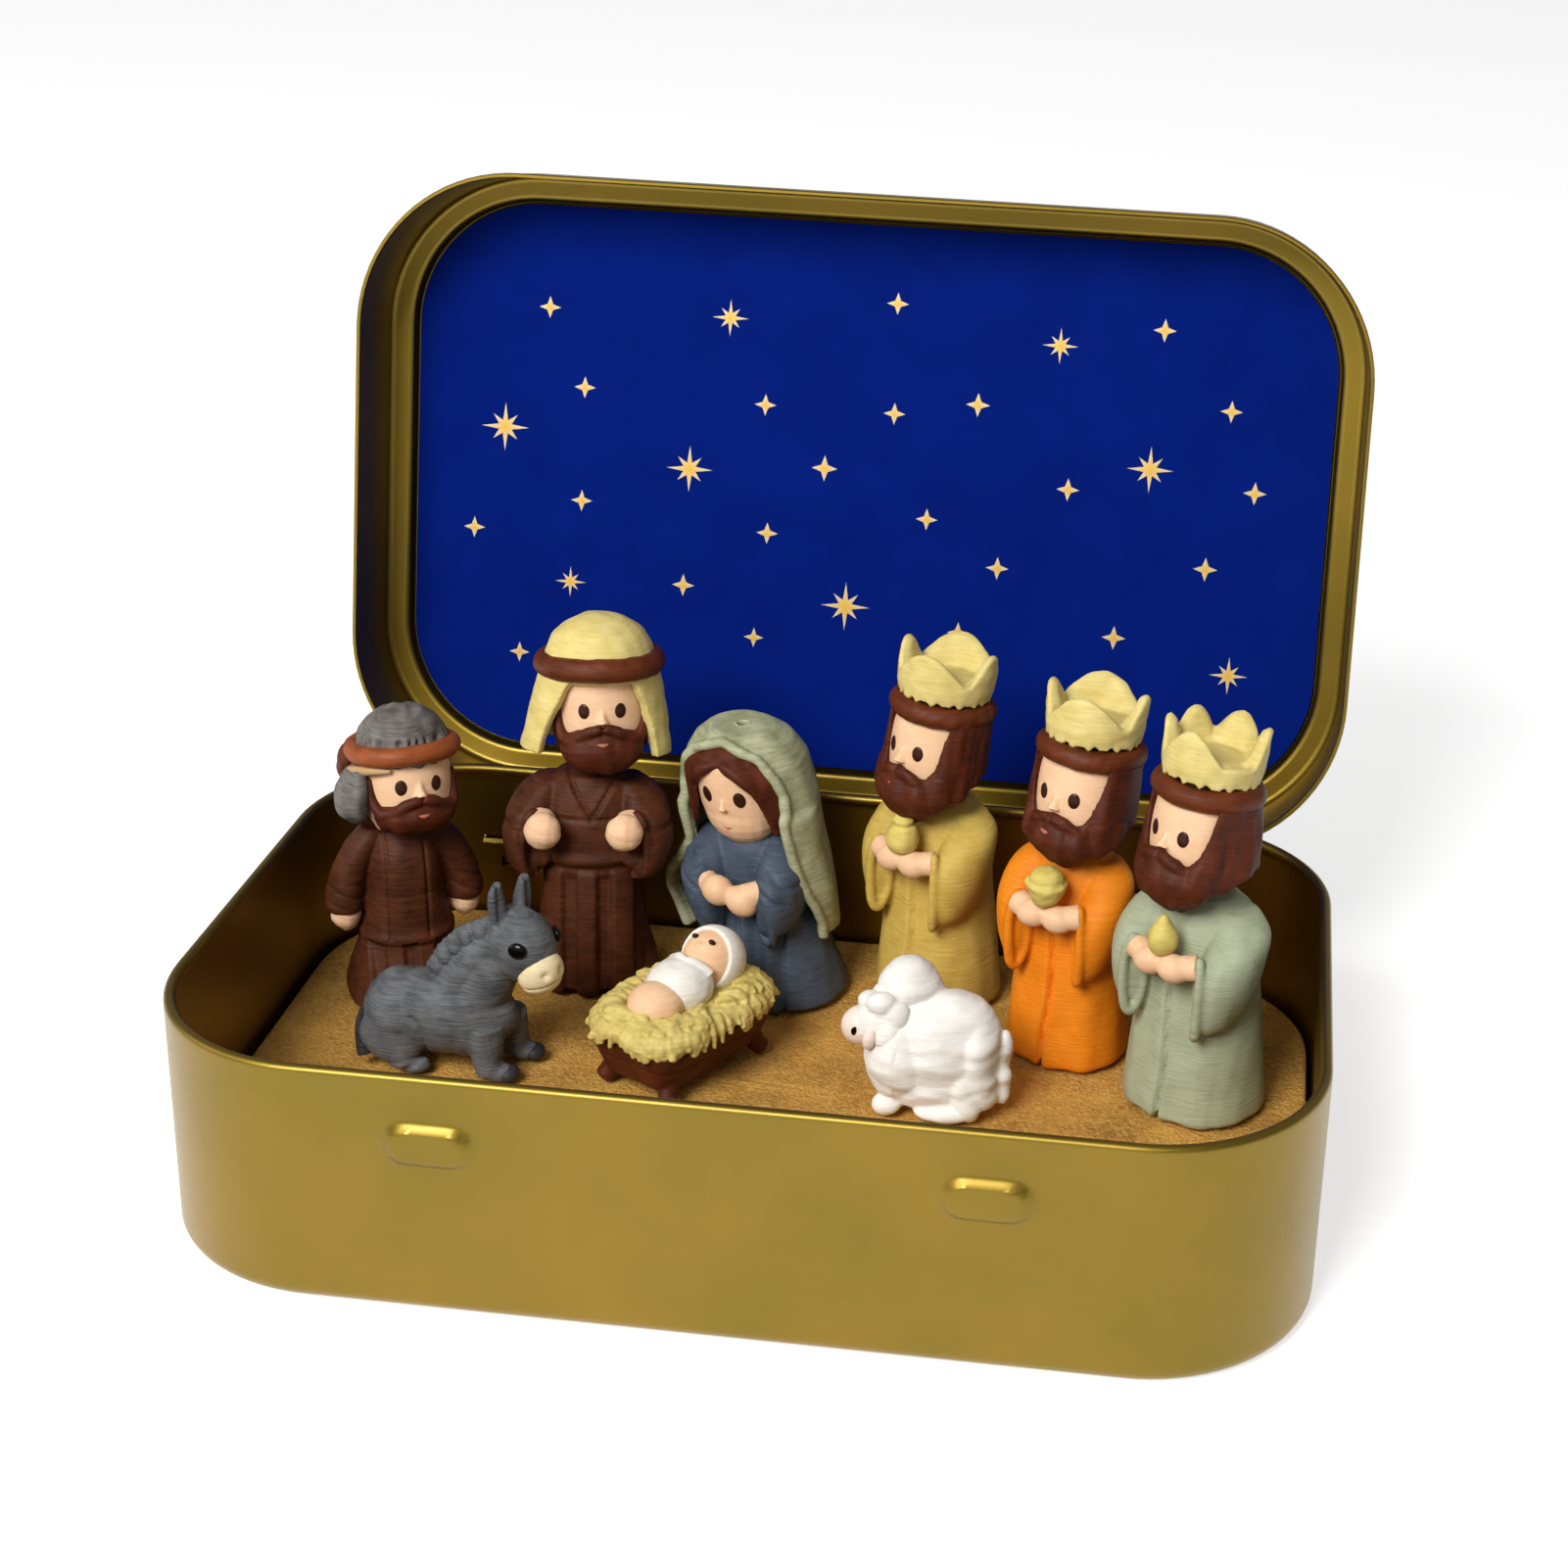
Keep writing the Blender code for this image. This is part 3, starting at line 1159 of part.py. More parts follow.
def sheep_head(centre, grow=0.0):
    """The head with its snout and two small ears."""
    x, y, z = centre
    back = SHEEP_BACK
    skull = ball("skull", centre, (back * 0.31, back * 0.26, back * 0.25), 10, 8, grow)
    nose = (x - back * 0.22, y, z - back * 0.07)
    snout = ball("snout", nose, (back * 0.15, back * 0.16, back * 0.15), 8, 6, grow)
    join(skull, snout)
    for side in (-1, 1):
        ear = (x - back * 0.05, y + side * back * 0.20, z + back * 0.17)
        join(skull, ball("ear", ear, (back * 0.10, back * 0.09, back * 0.10), 7, 6, grow))
    return skull


def trough(grow=0.0):
    """The manger's trough: a tapered box whose long side runs towards its head end, +Y."""
    top = TROUGH_LEG + TROUGH_HEIGHT
    rings = (
        (0.0, 0.0, TROUGH_LEG, TROUGH_WIDTH / 2 - TROUGH_TAPER, TROUGH_LENGTH / 2 - TROUGH_TAPER),
        (0.0, 0.0, top, TROUGH_WIDTH / 2, TROUGH_LENGTH / 2),
    )
    return loft("trough", rings, 16, 9.0, grow)


def straw(grow=0.0):
    """The straw: a rounded pad that overhangs the trough, dished where the child lies."""
    seat = TROUGH_LEG + TROUGH_HEIGHT + SEAT_GAP
    half_x = TROUGH_WIDTH / 2 + STRAW_OVERHANG
    half_y = TROUGH_LENGTH / 2 + STRAW_OVERHANG
    rings = (
        (0.0, 0.0, seat, half_x * 0.94, half_y * 0.95),
        (0.0, 0.0, seat + STRAW_THICKNESS * 0.45, half_x, half_y),
        (0.0, 0.0, seat + STRAW_THICKNESS, half_x * 0.80, half_y * 0.86),
    )
    return loft("straw", rings, 20, 3.0, grow)


def manger():
    """The manger on splayed legs, its straw, and the child: wrap, legs, head and hood."""
    stand = figure_stand("manger")
    box = trough()
    inset_x = TROUGH_WIDTH / 2 - TROUGH_TAPER
    inset_y = TROUGH_LENGTH / 2 - TROUGH_TAPER
    for side_x in (-1, 1):
        for side_y in (-1, 1):
            foot = (side_x * inset_x, side_y * inset_y * 0.98, 0.0)
            top = (side_x * inset_x * 0.72, side_y * inset_y * 0.78, TROUGH_LEG + 0.8 * MM)
            join(box, leg(((foot, 0.75 * MM), (top, 0.95 * MM)), 6))

    lie = TROUGH_LEG + TROUGH_HEIGHT + SEAT_GAP + STRAW_THICKNESS * 0.6
    head_centre = (0.0, CHILD_LENGTH * 0.37, lie + CHILD_HEAD_RADIUS * 0.80)
    wrap_centre = (0.0, -CHILD_LENGTH * 0.04, lie + 1.5 * MM)
    legs_centre = (0.0, -CHILD_LENGTH * 0.34, lie + 1.0 * MM)
    wrap_radii = (3.0 * MM, CHILD_LENGTH * 0.27, 2.3 * MM)
    legs_radii = (2.5 * MM, CHILD_LENGTH * 0.24, 1.8 * MM)
    head_radii = (CHILD_HEAD_RADIUS * 0.92, CHILD_HEAD_RADIUS, CHILD_HEAD_RADIUS * 0.92)
    hood_centre = (0.0, head_centre[1] + 0.9 * MM, head_centre[2] - 0.2 * MM)
    hood_radii = (CHILD_HEAD_RADIUS * 1.12, CHILD_HEAD_RADIUS * 1.05, CHILD_HEAD_RADIUS * 1.08)

    bed = cut(straw(), ball("wrap", wrap_centre, wrap_radii, grow=SEAT_GAP))
    cut(bed, ball("legs", legs_centre, legs_radii, grow=SEAT_GAP))
    cut(bed, ball("hood", hood_centre, hood_radii, grow=SEAT_GAP))
    cut(bed, ball("face", head_centre, head_radii, grow=SEAT_GAP))
    wrap = cut(ball("wrap", wrap_centre, wrap_radii), ball("face", head_centre, head_radii, grow=SEAT_GAP))
    cut(wrap, ball("hood", hood_centre, hood_radii, grow=SEAT_GAP))
    legs = cut(ball("legs", legs_centre, legs_radii, 12, 8), ball("wrap", wrap_centre, wrap_radii, grow=SEAT_GAP))
    hood = cut(ball("hood", hood_centre, hood_radii, 14, 8), ball("face", head_centre, head_radii, grow=SEAT_GAP))

    dress(box, "manger_trough", "brown_print", stand)
    dress(bed, "manger_straw", "cream_print", stand)
    dress(wrap, "child_wrap", "white_print", stand)
    dress(legs, "child_legs", "skin", stand)
    dress(ball("face", head_centre, head_radii), "child_head", "skin", stand)
    dress(hood, "child_hood", "white_print", stand)


def build_tin():
    """Base, hinge clips, floor, and the lid with its card on the hinge axis."""
    dress(base_tin(), "base_tin", "gold_lacquer", None)
    dress(sand_floor(), "sand_floor", "sand", None)
    for side, word in ((-1, "left"), (1, "right")):
        dress(hinge_clip(side * CLIP_SPACING / 2), "hinge_clip_" + word, "gold_lacquer", None)
    hinge = stand_point("lid_hinge", (0.0, HINGE_Y, HINGE_Z), (-LID_OPEN, 0.0, 0.0))
    dress(lid_tin(), "lid_tin", "gold_lacquer", hinge)
    dress(sky_card(), "sky_card", "blue_card", hinge)


clear_scene()
build_tin()
shepherd()
father()
mother()
king("king_ochre", "ochre_print", "bag", OCHRE_HEM_RADIUS, CROWN_POINTS, OCHRE_HEAD)
king("king_orange", "orange_print", "pot", ORANGE_HEM_RADIUS, CROWN_POINTS, ORANGE_HEAD)
king("king_sage", "sage_print", "flask", SAGE_HEM_RADIUS, SAGE_CROWN_POINTS, SAGE_HEAD)
donkey()
manger()
sheep()
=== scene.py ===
import math

import bmesh
import bpy
import numpy as np
from mathutils import Matrix, Vector


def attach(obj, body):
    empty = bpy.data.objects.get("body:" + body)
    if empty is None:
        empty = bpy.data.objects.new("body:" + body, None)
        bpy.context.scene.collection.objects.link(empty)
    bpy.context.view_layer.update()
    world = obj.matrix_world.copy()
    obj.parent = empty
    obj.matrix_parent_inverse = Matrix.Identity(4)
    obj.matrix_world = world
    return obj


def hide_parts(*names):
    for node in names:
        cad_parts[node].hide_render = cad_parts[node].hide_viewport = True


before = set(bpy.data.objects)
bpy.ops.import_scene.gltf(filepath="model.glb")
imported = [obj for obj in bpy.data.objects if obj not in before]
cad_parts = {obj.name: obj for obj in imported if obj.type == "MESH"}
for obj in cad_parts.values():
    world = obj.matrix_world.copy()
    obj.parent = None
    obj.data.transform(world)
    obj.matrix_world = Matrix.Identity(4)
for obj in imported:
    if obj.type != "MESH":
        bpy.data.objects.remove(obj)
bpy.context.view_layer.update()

# Studio
# A camera in front and above, a large soft lamp at the upper left, a weaker one at the right and
# a pale floor in a white surround. The floor keeps the tin's shadow.

camera_data = bpy.data.cameras.new("camera")
camera_data.sensor_fit = "HORIZONTAL"
camera_data.sensor_width = 36.0
camera_data.lens = 61.30
camera_data.shift_x = -0.1208
camera_data.shift_y = -0.0765
camera_data.clip_start = 0.01
camera = bpy.data.objects.new("camera", camera_data)
camera.location = (0.03692, -0.19988, 0.12854)
camera.rotation_euler = [math.radians(angle) for angle in (67.963, -2.056, 6.79)]
bpy.context.scene.collection.objects.link(camera)
bpy.context.scene.camera = camera
bpy.context.scene.view_settings.view_transform = "Standard"


def soft_lamp(name, place, aim, size, power):
    """A square soft lamp at a place, facing a point."""
    data = bpy.data.lights.new(name, "AREA")
    data.shape = "SQUARE"
    data.size = size
    data.energy = power
    lamp = bpy.data.objects.new(name, data)
    lamp.location = place
    lamp.rotation_euler = (Vector(aim) - Vector(place)).to_track_quat("-Z", "Y").to_euler()
    bpy.context.scene.collection.objects.link(lamp)


soft_lamp("key_lamp", (-0.17, -0.44, 0.43), (0.0, 0.0, 0.03), 0.26, 4.2)
soft_lamp("side_lamp", (-0.55, -0.10, 0.30), (0.0, 0.0, 0.03), 0.30, 0.5)


def wire(node, links):
    """Fill or link a node's inputs, by name or number."""
    for socket, source in links.items():
        if isinstance(source, bpy.types.NodeSocket):
            node.id_data.links.new(source, node.inputs[socket])
        else:
            node.inputs[socket].default_value = source


def add_node(tree, kind, links=None, **settings):
    """Add a node with its settings and inputs, and hand back its outputs."""
    node = tree.nodes.new(kind)
    for name, value in settings.items():
        setattr(node, name, value)
    wire(node, links or {})
    return node.outputs


WHITE = (1.0, 1.0, 1.0, 1.0)
ROOM_LIGHT = 0.28
surround = bpy.data.worlds.new("surround")
surround.use_nodes = True
tree = surround.node_tree
tree.nodes.clear()
seen = add_node(tree, "ShaderNodeLightPath")
through = {0: seen["Is Camera Ray"], 1: seen["Is Transmission Ray"]}
direct = add_node(tree, "ShaderNodeMath", through, operation="MAXIMUM")
strength = add_node(tree, "ShaderNodeMapRange", {"Value": direct[0], "To Min": ROOM_LIGHT, "To Max": 1.0})
white = add_node(tree, "ShaderNodeBackground", {"Color": WHITE, "Strength": strength[0]})
add_node(tree, "ShaderNodeOutputWorld", {"Surface": white[0]})
bpy.context.scene.world = surround

FLOOR_GLOW = 0.62
FLOOR_BELOW = 0.0001
floor_mesh = bpy.data.meshes.new("studio_floor")
floor_mesh.from_pydata([(-3, -3, 0), (3, -3, 0), (3, 3, 0), (-3, 3, 0)], [], [(0, 1, 2, 3)])
floor = bpy.data.objects.new("studio_floor", floor_mesh)
floor.location.z = -FLOOR_BELOW
bpy.context.scene.collection.objects.link(floor)
paper = bpy.data.materials.new("white_paper")
paper.use_nodes = True
tree = paper.node_tree
tree.nodes.clear()
seen = add_node(tree, "ShaderNodeLightPath")
mirrored = {0: seen["Is Camera Ray"], 1: seen["Is Glossy Ray"]}
direct = add_node(tree, "ShaderNodeMath", mirrored, operation="MAXIMUM")
sheet = add_node(tree, "ShaderNodeBsdfDiffuse", {"Color": (0.80, 0.80, 0.80, 1.0)})
lift = add_node(tree, "ShaderNodeMath", {0: direct[0], 1: FLOOR_GLOW}, operation="MULTIPLY")
glow = add_node(tree, "ShaderNodeEmission", {"Color": WHITE, "Strength": lift[0]})
both = add_node(tree, "ShaderNodeAddShader", {0: sheet[0], 1: glow[0]})
add_node(tree, "ShaderNodeOutputMaterial", {"Surface": both[0]})
floor_mesh.materials.append(paper)

# Base of the tin
# Drawn from one piece of tinplate about a third of a millimetre thick, lacquered gold. Its rim is
# rolled inwards, the foot is rounded, and two bumps are pressed out of the front for the lid.

MM = 0.001
BASE_LENGTH = 94.6
BASE_WIDTH = 57.8
BASE_HEIGHT = 21.4
CORNER_RADIUS = 14.6
FOOT_RADIUS = 1.4
SHEET = 0.35
RIM_RADIUS = 0.5


def srgb(code):
    """An sRGB hex colour in linear values."""
    linear = []
    for start in (1, 3, 5):
        part = int(code[start:start + 2], 16) / 255
        linear.append(part / 12.92 if part <= 0.04045 else ((part + 0.055) / 1.055) ** 2.4)
    return (*linear, 1.0)


def new_piece(name, verts, faces, smooth=True):
    """A mesh piece from points in millimetres, in the tin's own frame."""
    mesh = bpy.data.meshes.new(name)
    mesh.from_pydata((np.array(verts, float) * MM).tolist(), [], faces)
    bm = bmesh.new()
    bm.from_mesh(mesh)
    bmesh.ops.recalc_face_normals(bm, faces=bm.faces)
    bm.to_mesh(mesh)
    bm.free()
    if smooth:
        mesh.shade_smooth()
        for face in mesh.polygons:
            face.use_smooth = len(face.vertices) <= 4
    piece = bpy.data.objects.new(name, mesh)
    bpy.context.scene.collection.objects.link(piece)
    return piece


def bands(count, levels, closed=False):
    """Faces between level rings that each have a number of points."""
    faces = []
    for level in range(levels if closed else levels - 1):
        low = level * count
        high = ((level + 1) % levels) * count
        for i in range(count):
            j = (i + 1) % count
            faces.append((low + i, low + j, high + j, high + i))
    return faces


def ends(count, total):
    """The two end faces of a stack of rings with a number of points each."""
    return [tuple(reversed(range(count))), tuple(range(total - count, total))]


def tin_outline(length, width, radius, inset, along=120, across=60, corner_steps=20):
    """Points round a rectangle with round corners, evenly spaced on its straight sides."""
    corner = max(radius - inset, 0.3)
    reach = (length / 2 - inset - corner, width / 2 - inset - corner)
    points = []
    corners = ((1, 1), (-1, 1), (-1, -1), (1, -1), (1, 1))
    sides = zip(corners, corners[1:], (along, across, along, across))
    for quarter, (start, end, count) in enumerate(sides):
        for step in range(corner_steps + 1):
            angle = math.radians(90 * (quarter + step / corner_steps))
            x = start[0] * reach[0] + corner * math.cos(angle)
            y = start[1] * reach[1] + corner * math.sin(angle)
            points.append((x, y))
        first = points[-1]
        angle = math.radians(90 * (quarter + 1))
        last = (end[0] * reach[0] + corner * math.cos(angle), end[1] * reach[1] + corner * math.sin(angle))
        for step in range(1, count):
            t = step / count
            points.append((first[0] + (last[0] - first[0]) * t, first[1] + (last[1] - first[1]) * t))
    return points


def tin_rings(section, length, width, radius, *steps):
    """Points of a tin-shaped form, a ring for each (inset, height) of its section, and a ring's count."""
    verts = []
    for inset, height in section:
        verts += [(x, y, height) for x, y in tin_outline(length, width, radius, inset, *steps)]
    return verts, len(verts) // len(section)


def arc(inset, height, radius, start, end, steps):
    """Points on an arc of the wall's section, angles in degrees."""
    turns = [math.radians(start + (end - start) * step / steps) for step in range(steps + 1)]
    return [(inset + radius * math.cos(turn), height + radius * math.sin(turn)) for turn in turns]


def straight(start, end, steps):
    """Points between two points of the wall's section, both left out."""
    shares = [step / steps for step in range(1, steps)]
    return [(start[0] + (end[0] - start[0]) * t, start[1] + (end[1] - start[1]) * t) for t in shares]


rim_height = BASE_HEIGHT - RIM_RADIUS
section = arc(FOOT_RADIUS, FOOT_RADIUS, FOOT_RADIUS, 270, 180, 8)
section += straight((0.0, FOOT_RADIUS), (0.0, rim_height), 48)
section += arc(RIM_RADIUS, rim_height, RIM_RADIUS, 180, -70, 12)
inner_top = rim_height - RIM_RADIUS * 1.5
section += [(SHEET, inner_top)]
section += straight((SHEET, inner_top), (SHEET, FOOT_RADIUS), 44)
section += arc(FOOT_RADIUS, FOOT_RADIUS, FOOT_RADIUS - SHEET, 180, 270, 6)
verts, ring = tin_rings(section, BASE_LENGTH, BASE_WIDTH, CORNER_RADIUS)
faces = bands(ring, len(section)) + ends(ring, len(verts))

# Front bumps: a rise that climbs round the edge of an oblong with round ends, flat on top
BUMP_LENGTH = 7.4
BUMP_HEIGHT = 3.9
BUMP_RISE = 0.70
BUMP_SPACING = 43.4
BUMP_BELOW_RIM = 5.9
BUMP_SLOPE = 0.65
points = np.array(verts)
for side in (-1, 1):
    beside = np.abs(points[:, 0] - side * BUMP_SPACING / 2) - (BUMP_LENGTH - BUMP_HEIGHT) / 2
    beside = np.maximum(beside, 0)
    away = np.hypot(beside, points[:, 2] - (BASE_HEIGHT - BUMP_BELOW_RIM))
    climb = np.clip((BUMP_HEIGHT / 2 - away) / BUMP_SLOPE, 0, 1)
    front = points[:, 1] < -BASE_WIDTH / 2 + 0.6
    points[:, 1] -= np.where(front, BUMP_RISE * climb * climb * (3 - 2 * climb), 0)
base = new_piece("tin_base", points, faces)

# Slots in the back wall that the hinge clips pass through
CLIP_SPACING = 62.4
SLOT_LENGTH = 6.1
SLOT_HEIGHT = 0.7
SLOT_BELOW_RIM = 8.0
slot_verts = []
slot_faces = []
for side in (-1, 1):
    x = side * CLIP_SPACING / 2
    z = BASE_HEIGHT - SLOT_BELOW_RIM
    start = len(slot_verts)
    for height in (z - SLOT_HEIGHT / 2, z + SLOT_HEIGHT / 2):
        for px, py in ((-1, -1), (1, -1), (1, 1), (-1, 1)):
            slot_verts.append((x + px * SLOT_LENGTH / 2, BASE_WIDTH / 2 - 0.2 + py * 0.5, height))
    quads = ((0, 3, 2, 1), (4, 5, 6, 7), (0, 1, 5, 4), (1, 2, 6, 5), (2, 3, 7, 6), (3, 0, 4, 7))
    slot_faces += [tuple(start + i for i in quad) for quad in quads]
slots = new_piece("slots", slot_verts, slot_faces, smooth=False)


def take_shape(piece):
    """Fix a piece's modifiers into its mesh."""
    graph = bpy.context.evaluated_depsgraph_get()
    mesh = bpy.data.meshes.new_from_object(piece.evaluated_get(graph))
    piece.modifiers.clear()
    old = piece.data
    piece.data = mesh
    bpy.data.meshes.remove(old)


punch = base.modifiers.new("slots", "BOOLEAN")
punch.operation = "DIFFERENCE"
punch.object = slots
take_shape(base)
bpy.data.objects.remove(slots, do_unlink=True)
base.data.set_sharp_from_angle(angle=math.radians(50))


def raw_finish(name):
    """A new material, its nodes, its shader and the place on the piece, in metres."""
    material = bpy.data.materials.new(name)
    material.use_nodes = True
    tree = material.node_tree
    return material, tree, tree.nodes["Principled BSDF"], add_node(tree, "ShaderNodeTexCoord")["Object"]


def tin_lacquer(name, colour, deep):
    """Gold-lacquered tinplate: satin metal with a faint rolling grain under a clear coat. The
    grain runs along the tin, a fifth of a millimetre wide, drawn coarser than the real one."""
    material, tree, shader, place = raw_finish(name)
    rolled = add_node(tree, "ShaderNodeMapping", {"Vector": place, "Scale": (60.0, 900.0, 5000.0)})
    grain = add_node(tree, "ShaderNodeTexNoise", {"Vector": rolled[0], "Scale": 1.0, "Detail": 3.0})
    cloud = add_node(tree, "ShaderNodeTexNoise", {"Vector": place, "Scale": 70.0, "Detail": 4.0})
    shade = add_node(tree, "ShaderNodeMapRange", {"Value": cloud["Fac"], "From Min": 0.3, "From Max": 0.7})
    tones = {0: shade[0], "A": srgb(colour), "B": srgb(deep)}
    mixed = add_node(tree, "ShaderNodeMix", tones, data_type="RGBA")
    rough = add_node(tree, "ShaderNodeMapRange", {"Value": grain["Fac"], "To Min": 0.36, "To Max": 0.50})
    bump = add_node(tree, "ShaderNodeBump", {"Height": grain["Fac"], "Strength": 0.10, "Distance": 0.00004})
    wire(shader, {"Base Color": mixed["Result"], "Roughness": rough[0], "Normal": bump[0],
                  "Metallic": 1.0, "Coat Weight": 0.35, "Coat Roughness": 0.30})
    return material


gold_lacquer = tin_lacquer("gold_lacquered_tinplate", "#8e7222", "#7e6a1e")
base.data.materials.clear()
base.data.materials.append(gold_lacquer)
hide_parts("base_tin")
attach(base, "base")

# Hinge clips
# Two bent strips of the same lacquered plate, each threaded through a slot in the back wall and
# curled round the lid's hem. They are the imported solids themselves, in the tin's lacquer.

for word in ("left", "right"):
    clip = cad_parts["hinge_clip_" + word]
    clip.data.materials.clear()
    clip.data.materials.append(gold_lacquer)

# Lid
# Pressed from the same plate: a skirt with a rolled hem, a shoulder, and a raised panel whose
# inside is the recess for the card. It hangs open on the hinge, leaning back.

LID_CLEARANCE = 0.15
LID_DEPTH = 11.3
HEM_WIDTH = 0.45
HEM_HEIGHT = 0.8
LEDGE_DEPTH = 9.4
LEDGE_WIDTH = 1.5
HINGE = (0.0, 30.0, 17.7)
LID_OPEN = 101.0
LID_LENGTH = BASE_LENGTH + 2 * (LID_CLEARANCE + HEM_WIDTH)
LID_WIDTH = HINGE[1] + HEM_WIDTH / 2 + BASE_WIDTH / 2 + LID_CLEARANCE + HEM_WIDTH
LID_RADIUS = CORNER_RADIUS + LID_CLEARANCE + HEM_WIDTH
lid_turn = np.array(Matrix.Rotation(math.radians(-LID_OPEN), 3, "X"))


def lid_place(points):
    """Points given with the lid shut and the hinge at the origin, moved to the open lid."""
    shifted = np.array(points, float) + (0.0, HEM_WIDTH / 2 - LID_WIDTH / 2, 0.0)
    return shifted @ lid_turn.T + HINGE


def rounded(section, radius, steps):
    """A closed section with each of its corners turned into a small curve."""
    corners = [np.array(point, float) for point in section]
    smooth = []
    for index, corner in enumerate(corners):
        before = corners[index - 1] - corner
        after = corners[(index + 1) % len(corners)] - corner
        start = corner + before * min(radius / np.linalg.norm(before), 0.5)
        end = corner + after * min(radius / np.linalg.norm(after), 0.5)
        for step in range(steps + 1):
            t = step / steps
            smooth.append(tuple((1 - t) ** 2 * start + 2 * t * (1 - t) * corner + t * t * end))
    return smooth


rim = -HEM_HEIGHT / 2
skirt = HEM_WIDTH * 0.18
inner = skirt + SHEET
ledge = rim + LEDGE_DEPTH
panel = rim + LID_DEPTH
bead = inner + LEDGE_WIDTH
hem = rim + HEM_HEIGHT
section = [(HEM_WIDTH * 0.5, rim), (0.0, rim), (0.0, hem), (skirt, hem + HEM_HEIGHT * 0.2)]
section += [(skirt, ledge + SHEET), (bead + SHEET, ledge + SHEET)]
section += [(bead + SHEET, panel), (bead + 3 * SHEET, panel)]
outer_count = len(section)
section += [(bead + 3 * SHEET, panel - SHEET), (bead + 2 * SHEET, panel - SHEET)]
section += [(bead + 2 * SHEET, ledge), (inner, ledge)]
section += [(inner, hem + HEM_HEIGHT * 0.2), (HEM_WIDTH, hem), (HEM_WIDTH, rim)]
SECTION_ROUNDING = 0.55
ROUND_STEPS = 4
section = rounded(section, SECTION_ROUNDING, ROUND_STEPS)
verts, ring = tin_rings(section, LID_LENGTH, LID_WIDTH, LID_RADIUS, 60, 36)
# The ring band between the panel's outside and inside gives way to the panel's two flat faces
split = outer_count * (ROUND_STEPS + 1) * ring
faces = [face for face in bands(ring, len(section), closed=True) if not split - ring <= face[0] < split]
faces += [tuple(range(split - ring, split)), tuple(reversed(range(split, split + ring)))]
lid = new_piece("tin_lid", lid_place(verts), faces)
lid.data.set_sharp_from_angle(angle=math.radians(60))
lid.data.materials.append(gold_lacquer)
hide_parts("lid_tin")
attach(lid, "lid")

# Sky card and its stars
# A cut card printed deep blue with a matt finish, laid in the lid's recess. The stars are gold
# foil pressed on the card, a little proud of it: eight points with pale tips, four when small.

CARD_MARGIN = 0.4
CARD_THICKNESS = 0.3
CARD_GAP = 0.3
CARD_EDGE = 0.03
card_top = LID_DEPTH - HEM_HEIGHT / 2 - SHEET - CARD_GAP
card_inset = skirt + SHEET + LEDGE_WIDTH + 2 * SHEET + CARD_MARGIN
card_face = card_top - CARD_THICKNESS
section = [(card_inset + CARD_EDGE, card_face), (card_inset, card_face + CARD_EDGE)]
section += [(card_inset, card_top - CARD_EDGE), (card_inset + CARD_EDGE, card_top)]
verts, ring = tin_rings(section, LID_LENGTH, LID_WIDTH, LID_RADIUS, 40, 24)
faces = bands(ring, len(section)) + ends(ring, len(verts))
card = new_piece("sky_card_print", lid_place(verts), faces)
card.data.set_sharp_from_angle(angle=math.radians(30))

# Printed card: uncoated board, matt, with a soft unevenness in the ink about 6 mm across
blue, tree, shader, place = raw_finish("printed_card_blue")
clouds = {"Vector": place, "Scale": 160.0, "Detail": 5.0, "Roughness": 0.6}
ink = add_node(tree, "ShaderNodeTexNoise", clouds)
spread = add_node(tree, "ShaderNodeMapRange", {"Value": ink["Fac"], "From Min": 0.25, "From Max": 0.75})
tones = {0: spread[0], "A": srgb("#001668"), "B": srgb("#011c74")}
mixed = add_node(tree, "ShaderNodeMix", tones, data_type="RGBA")
fibre = add_node(tree, "ShaderNodeTexNoise", {"Vector": place, "Scale": 5000.0, "Detail": 2.0})
bump = add_node(tree, "ShaderNodeBump", {"Height": fibre["Fac"], "Strength": 0.15, "Distance": 0.00002})
wire(shader, {"Base Color": mixed["Result"], "Normal": bump[0],
              "Roughness": 0.85, "Specular IOR Level": 0.05})
card.data.materials.append(blue)
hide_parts("sky_card")
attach(card, "lid")

# Where each star sits: across the card and down from the hinge, with its span tip to tip
STARS = (
    (-36.1, -34.6, 4.9), (-17.5, -31.7, 4.7), (-1.4, -19.2, 4.9), (27.6, -34.8, 4.6),
    (-14.0, -46.7, 3.7), (18.2, -46.1, 3.6), (36.6, -15.2, 3.8), (-29.1, -19.6, 3.2),
    (-31.9, -46.6, 2.2), (-28.2, -39.0, 2.2), (-10.2, -38.5, 2.2), (-4.1, -32.7, 2.6),
    (-28.2, -27.8, 2.2), (-39.0, -24.4, 2.2), (-9.5, -25.9, 2.2), (-17.7, -20.1, 2.3),
    (-34.1, -12.1, 2.1), (-10.4, -15.4, 2.0), (2.3, -49.1, 2.2), (28.1, -48.2, 2.3),
    (2.5, -38.5, 2.2), (10.6, -39.9, 2.4), (35.0, -40.9, 2.2), (19.8, -32.3, 2.3),
    (37.8, -33.2, 2.3), (6.2, -28.4, 2.2), (13.4, -24.1, 2.3), (33.6, -25.5, 2.4),
    (25.2, -18.1, 2.4), (9.9, -17.4, 2.2),
)
FOIL_THICKNESS = 0.05
EIGHT_POINTED_FROM = 3.0
verts = []
faces = []
tips = []
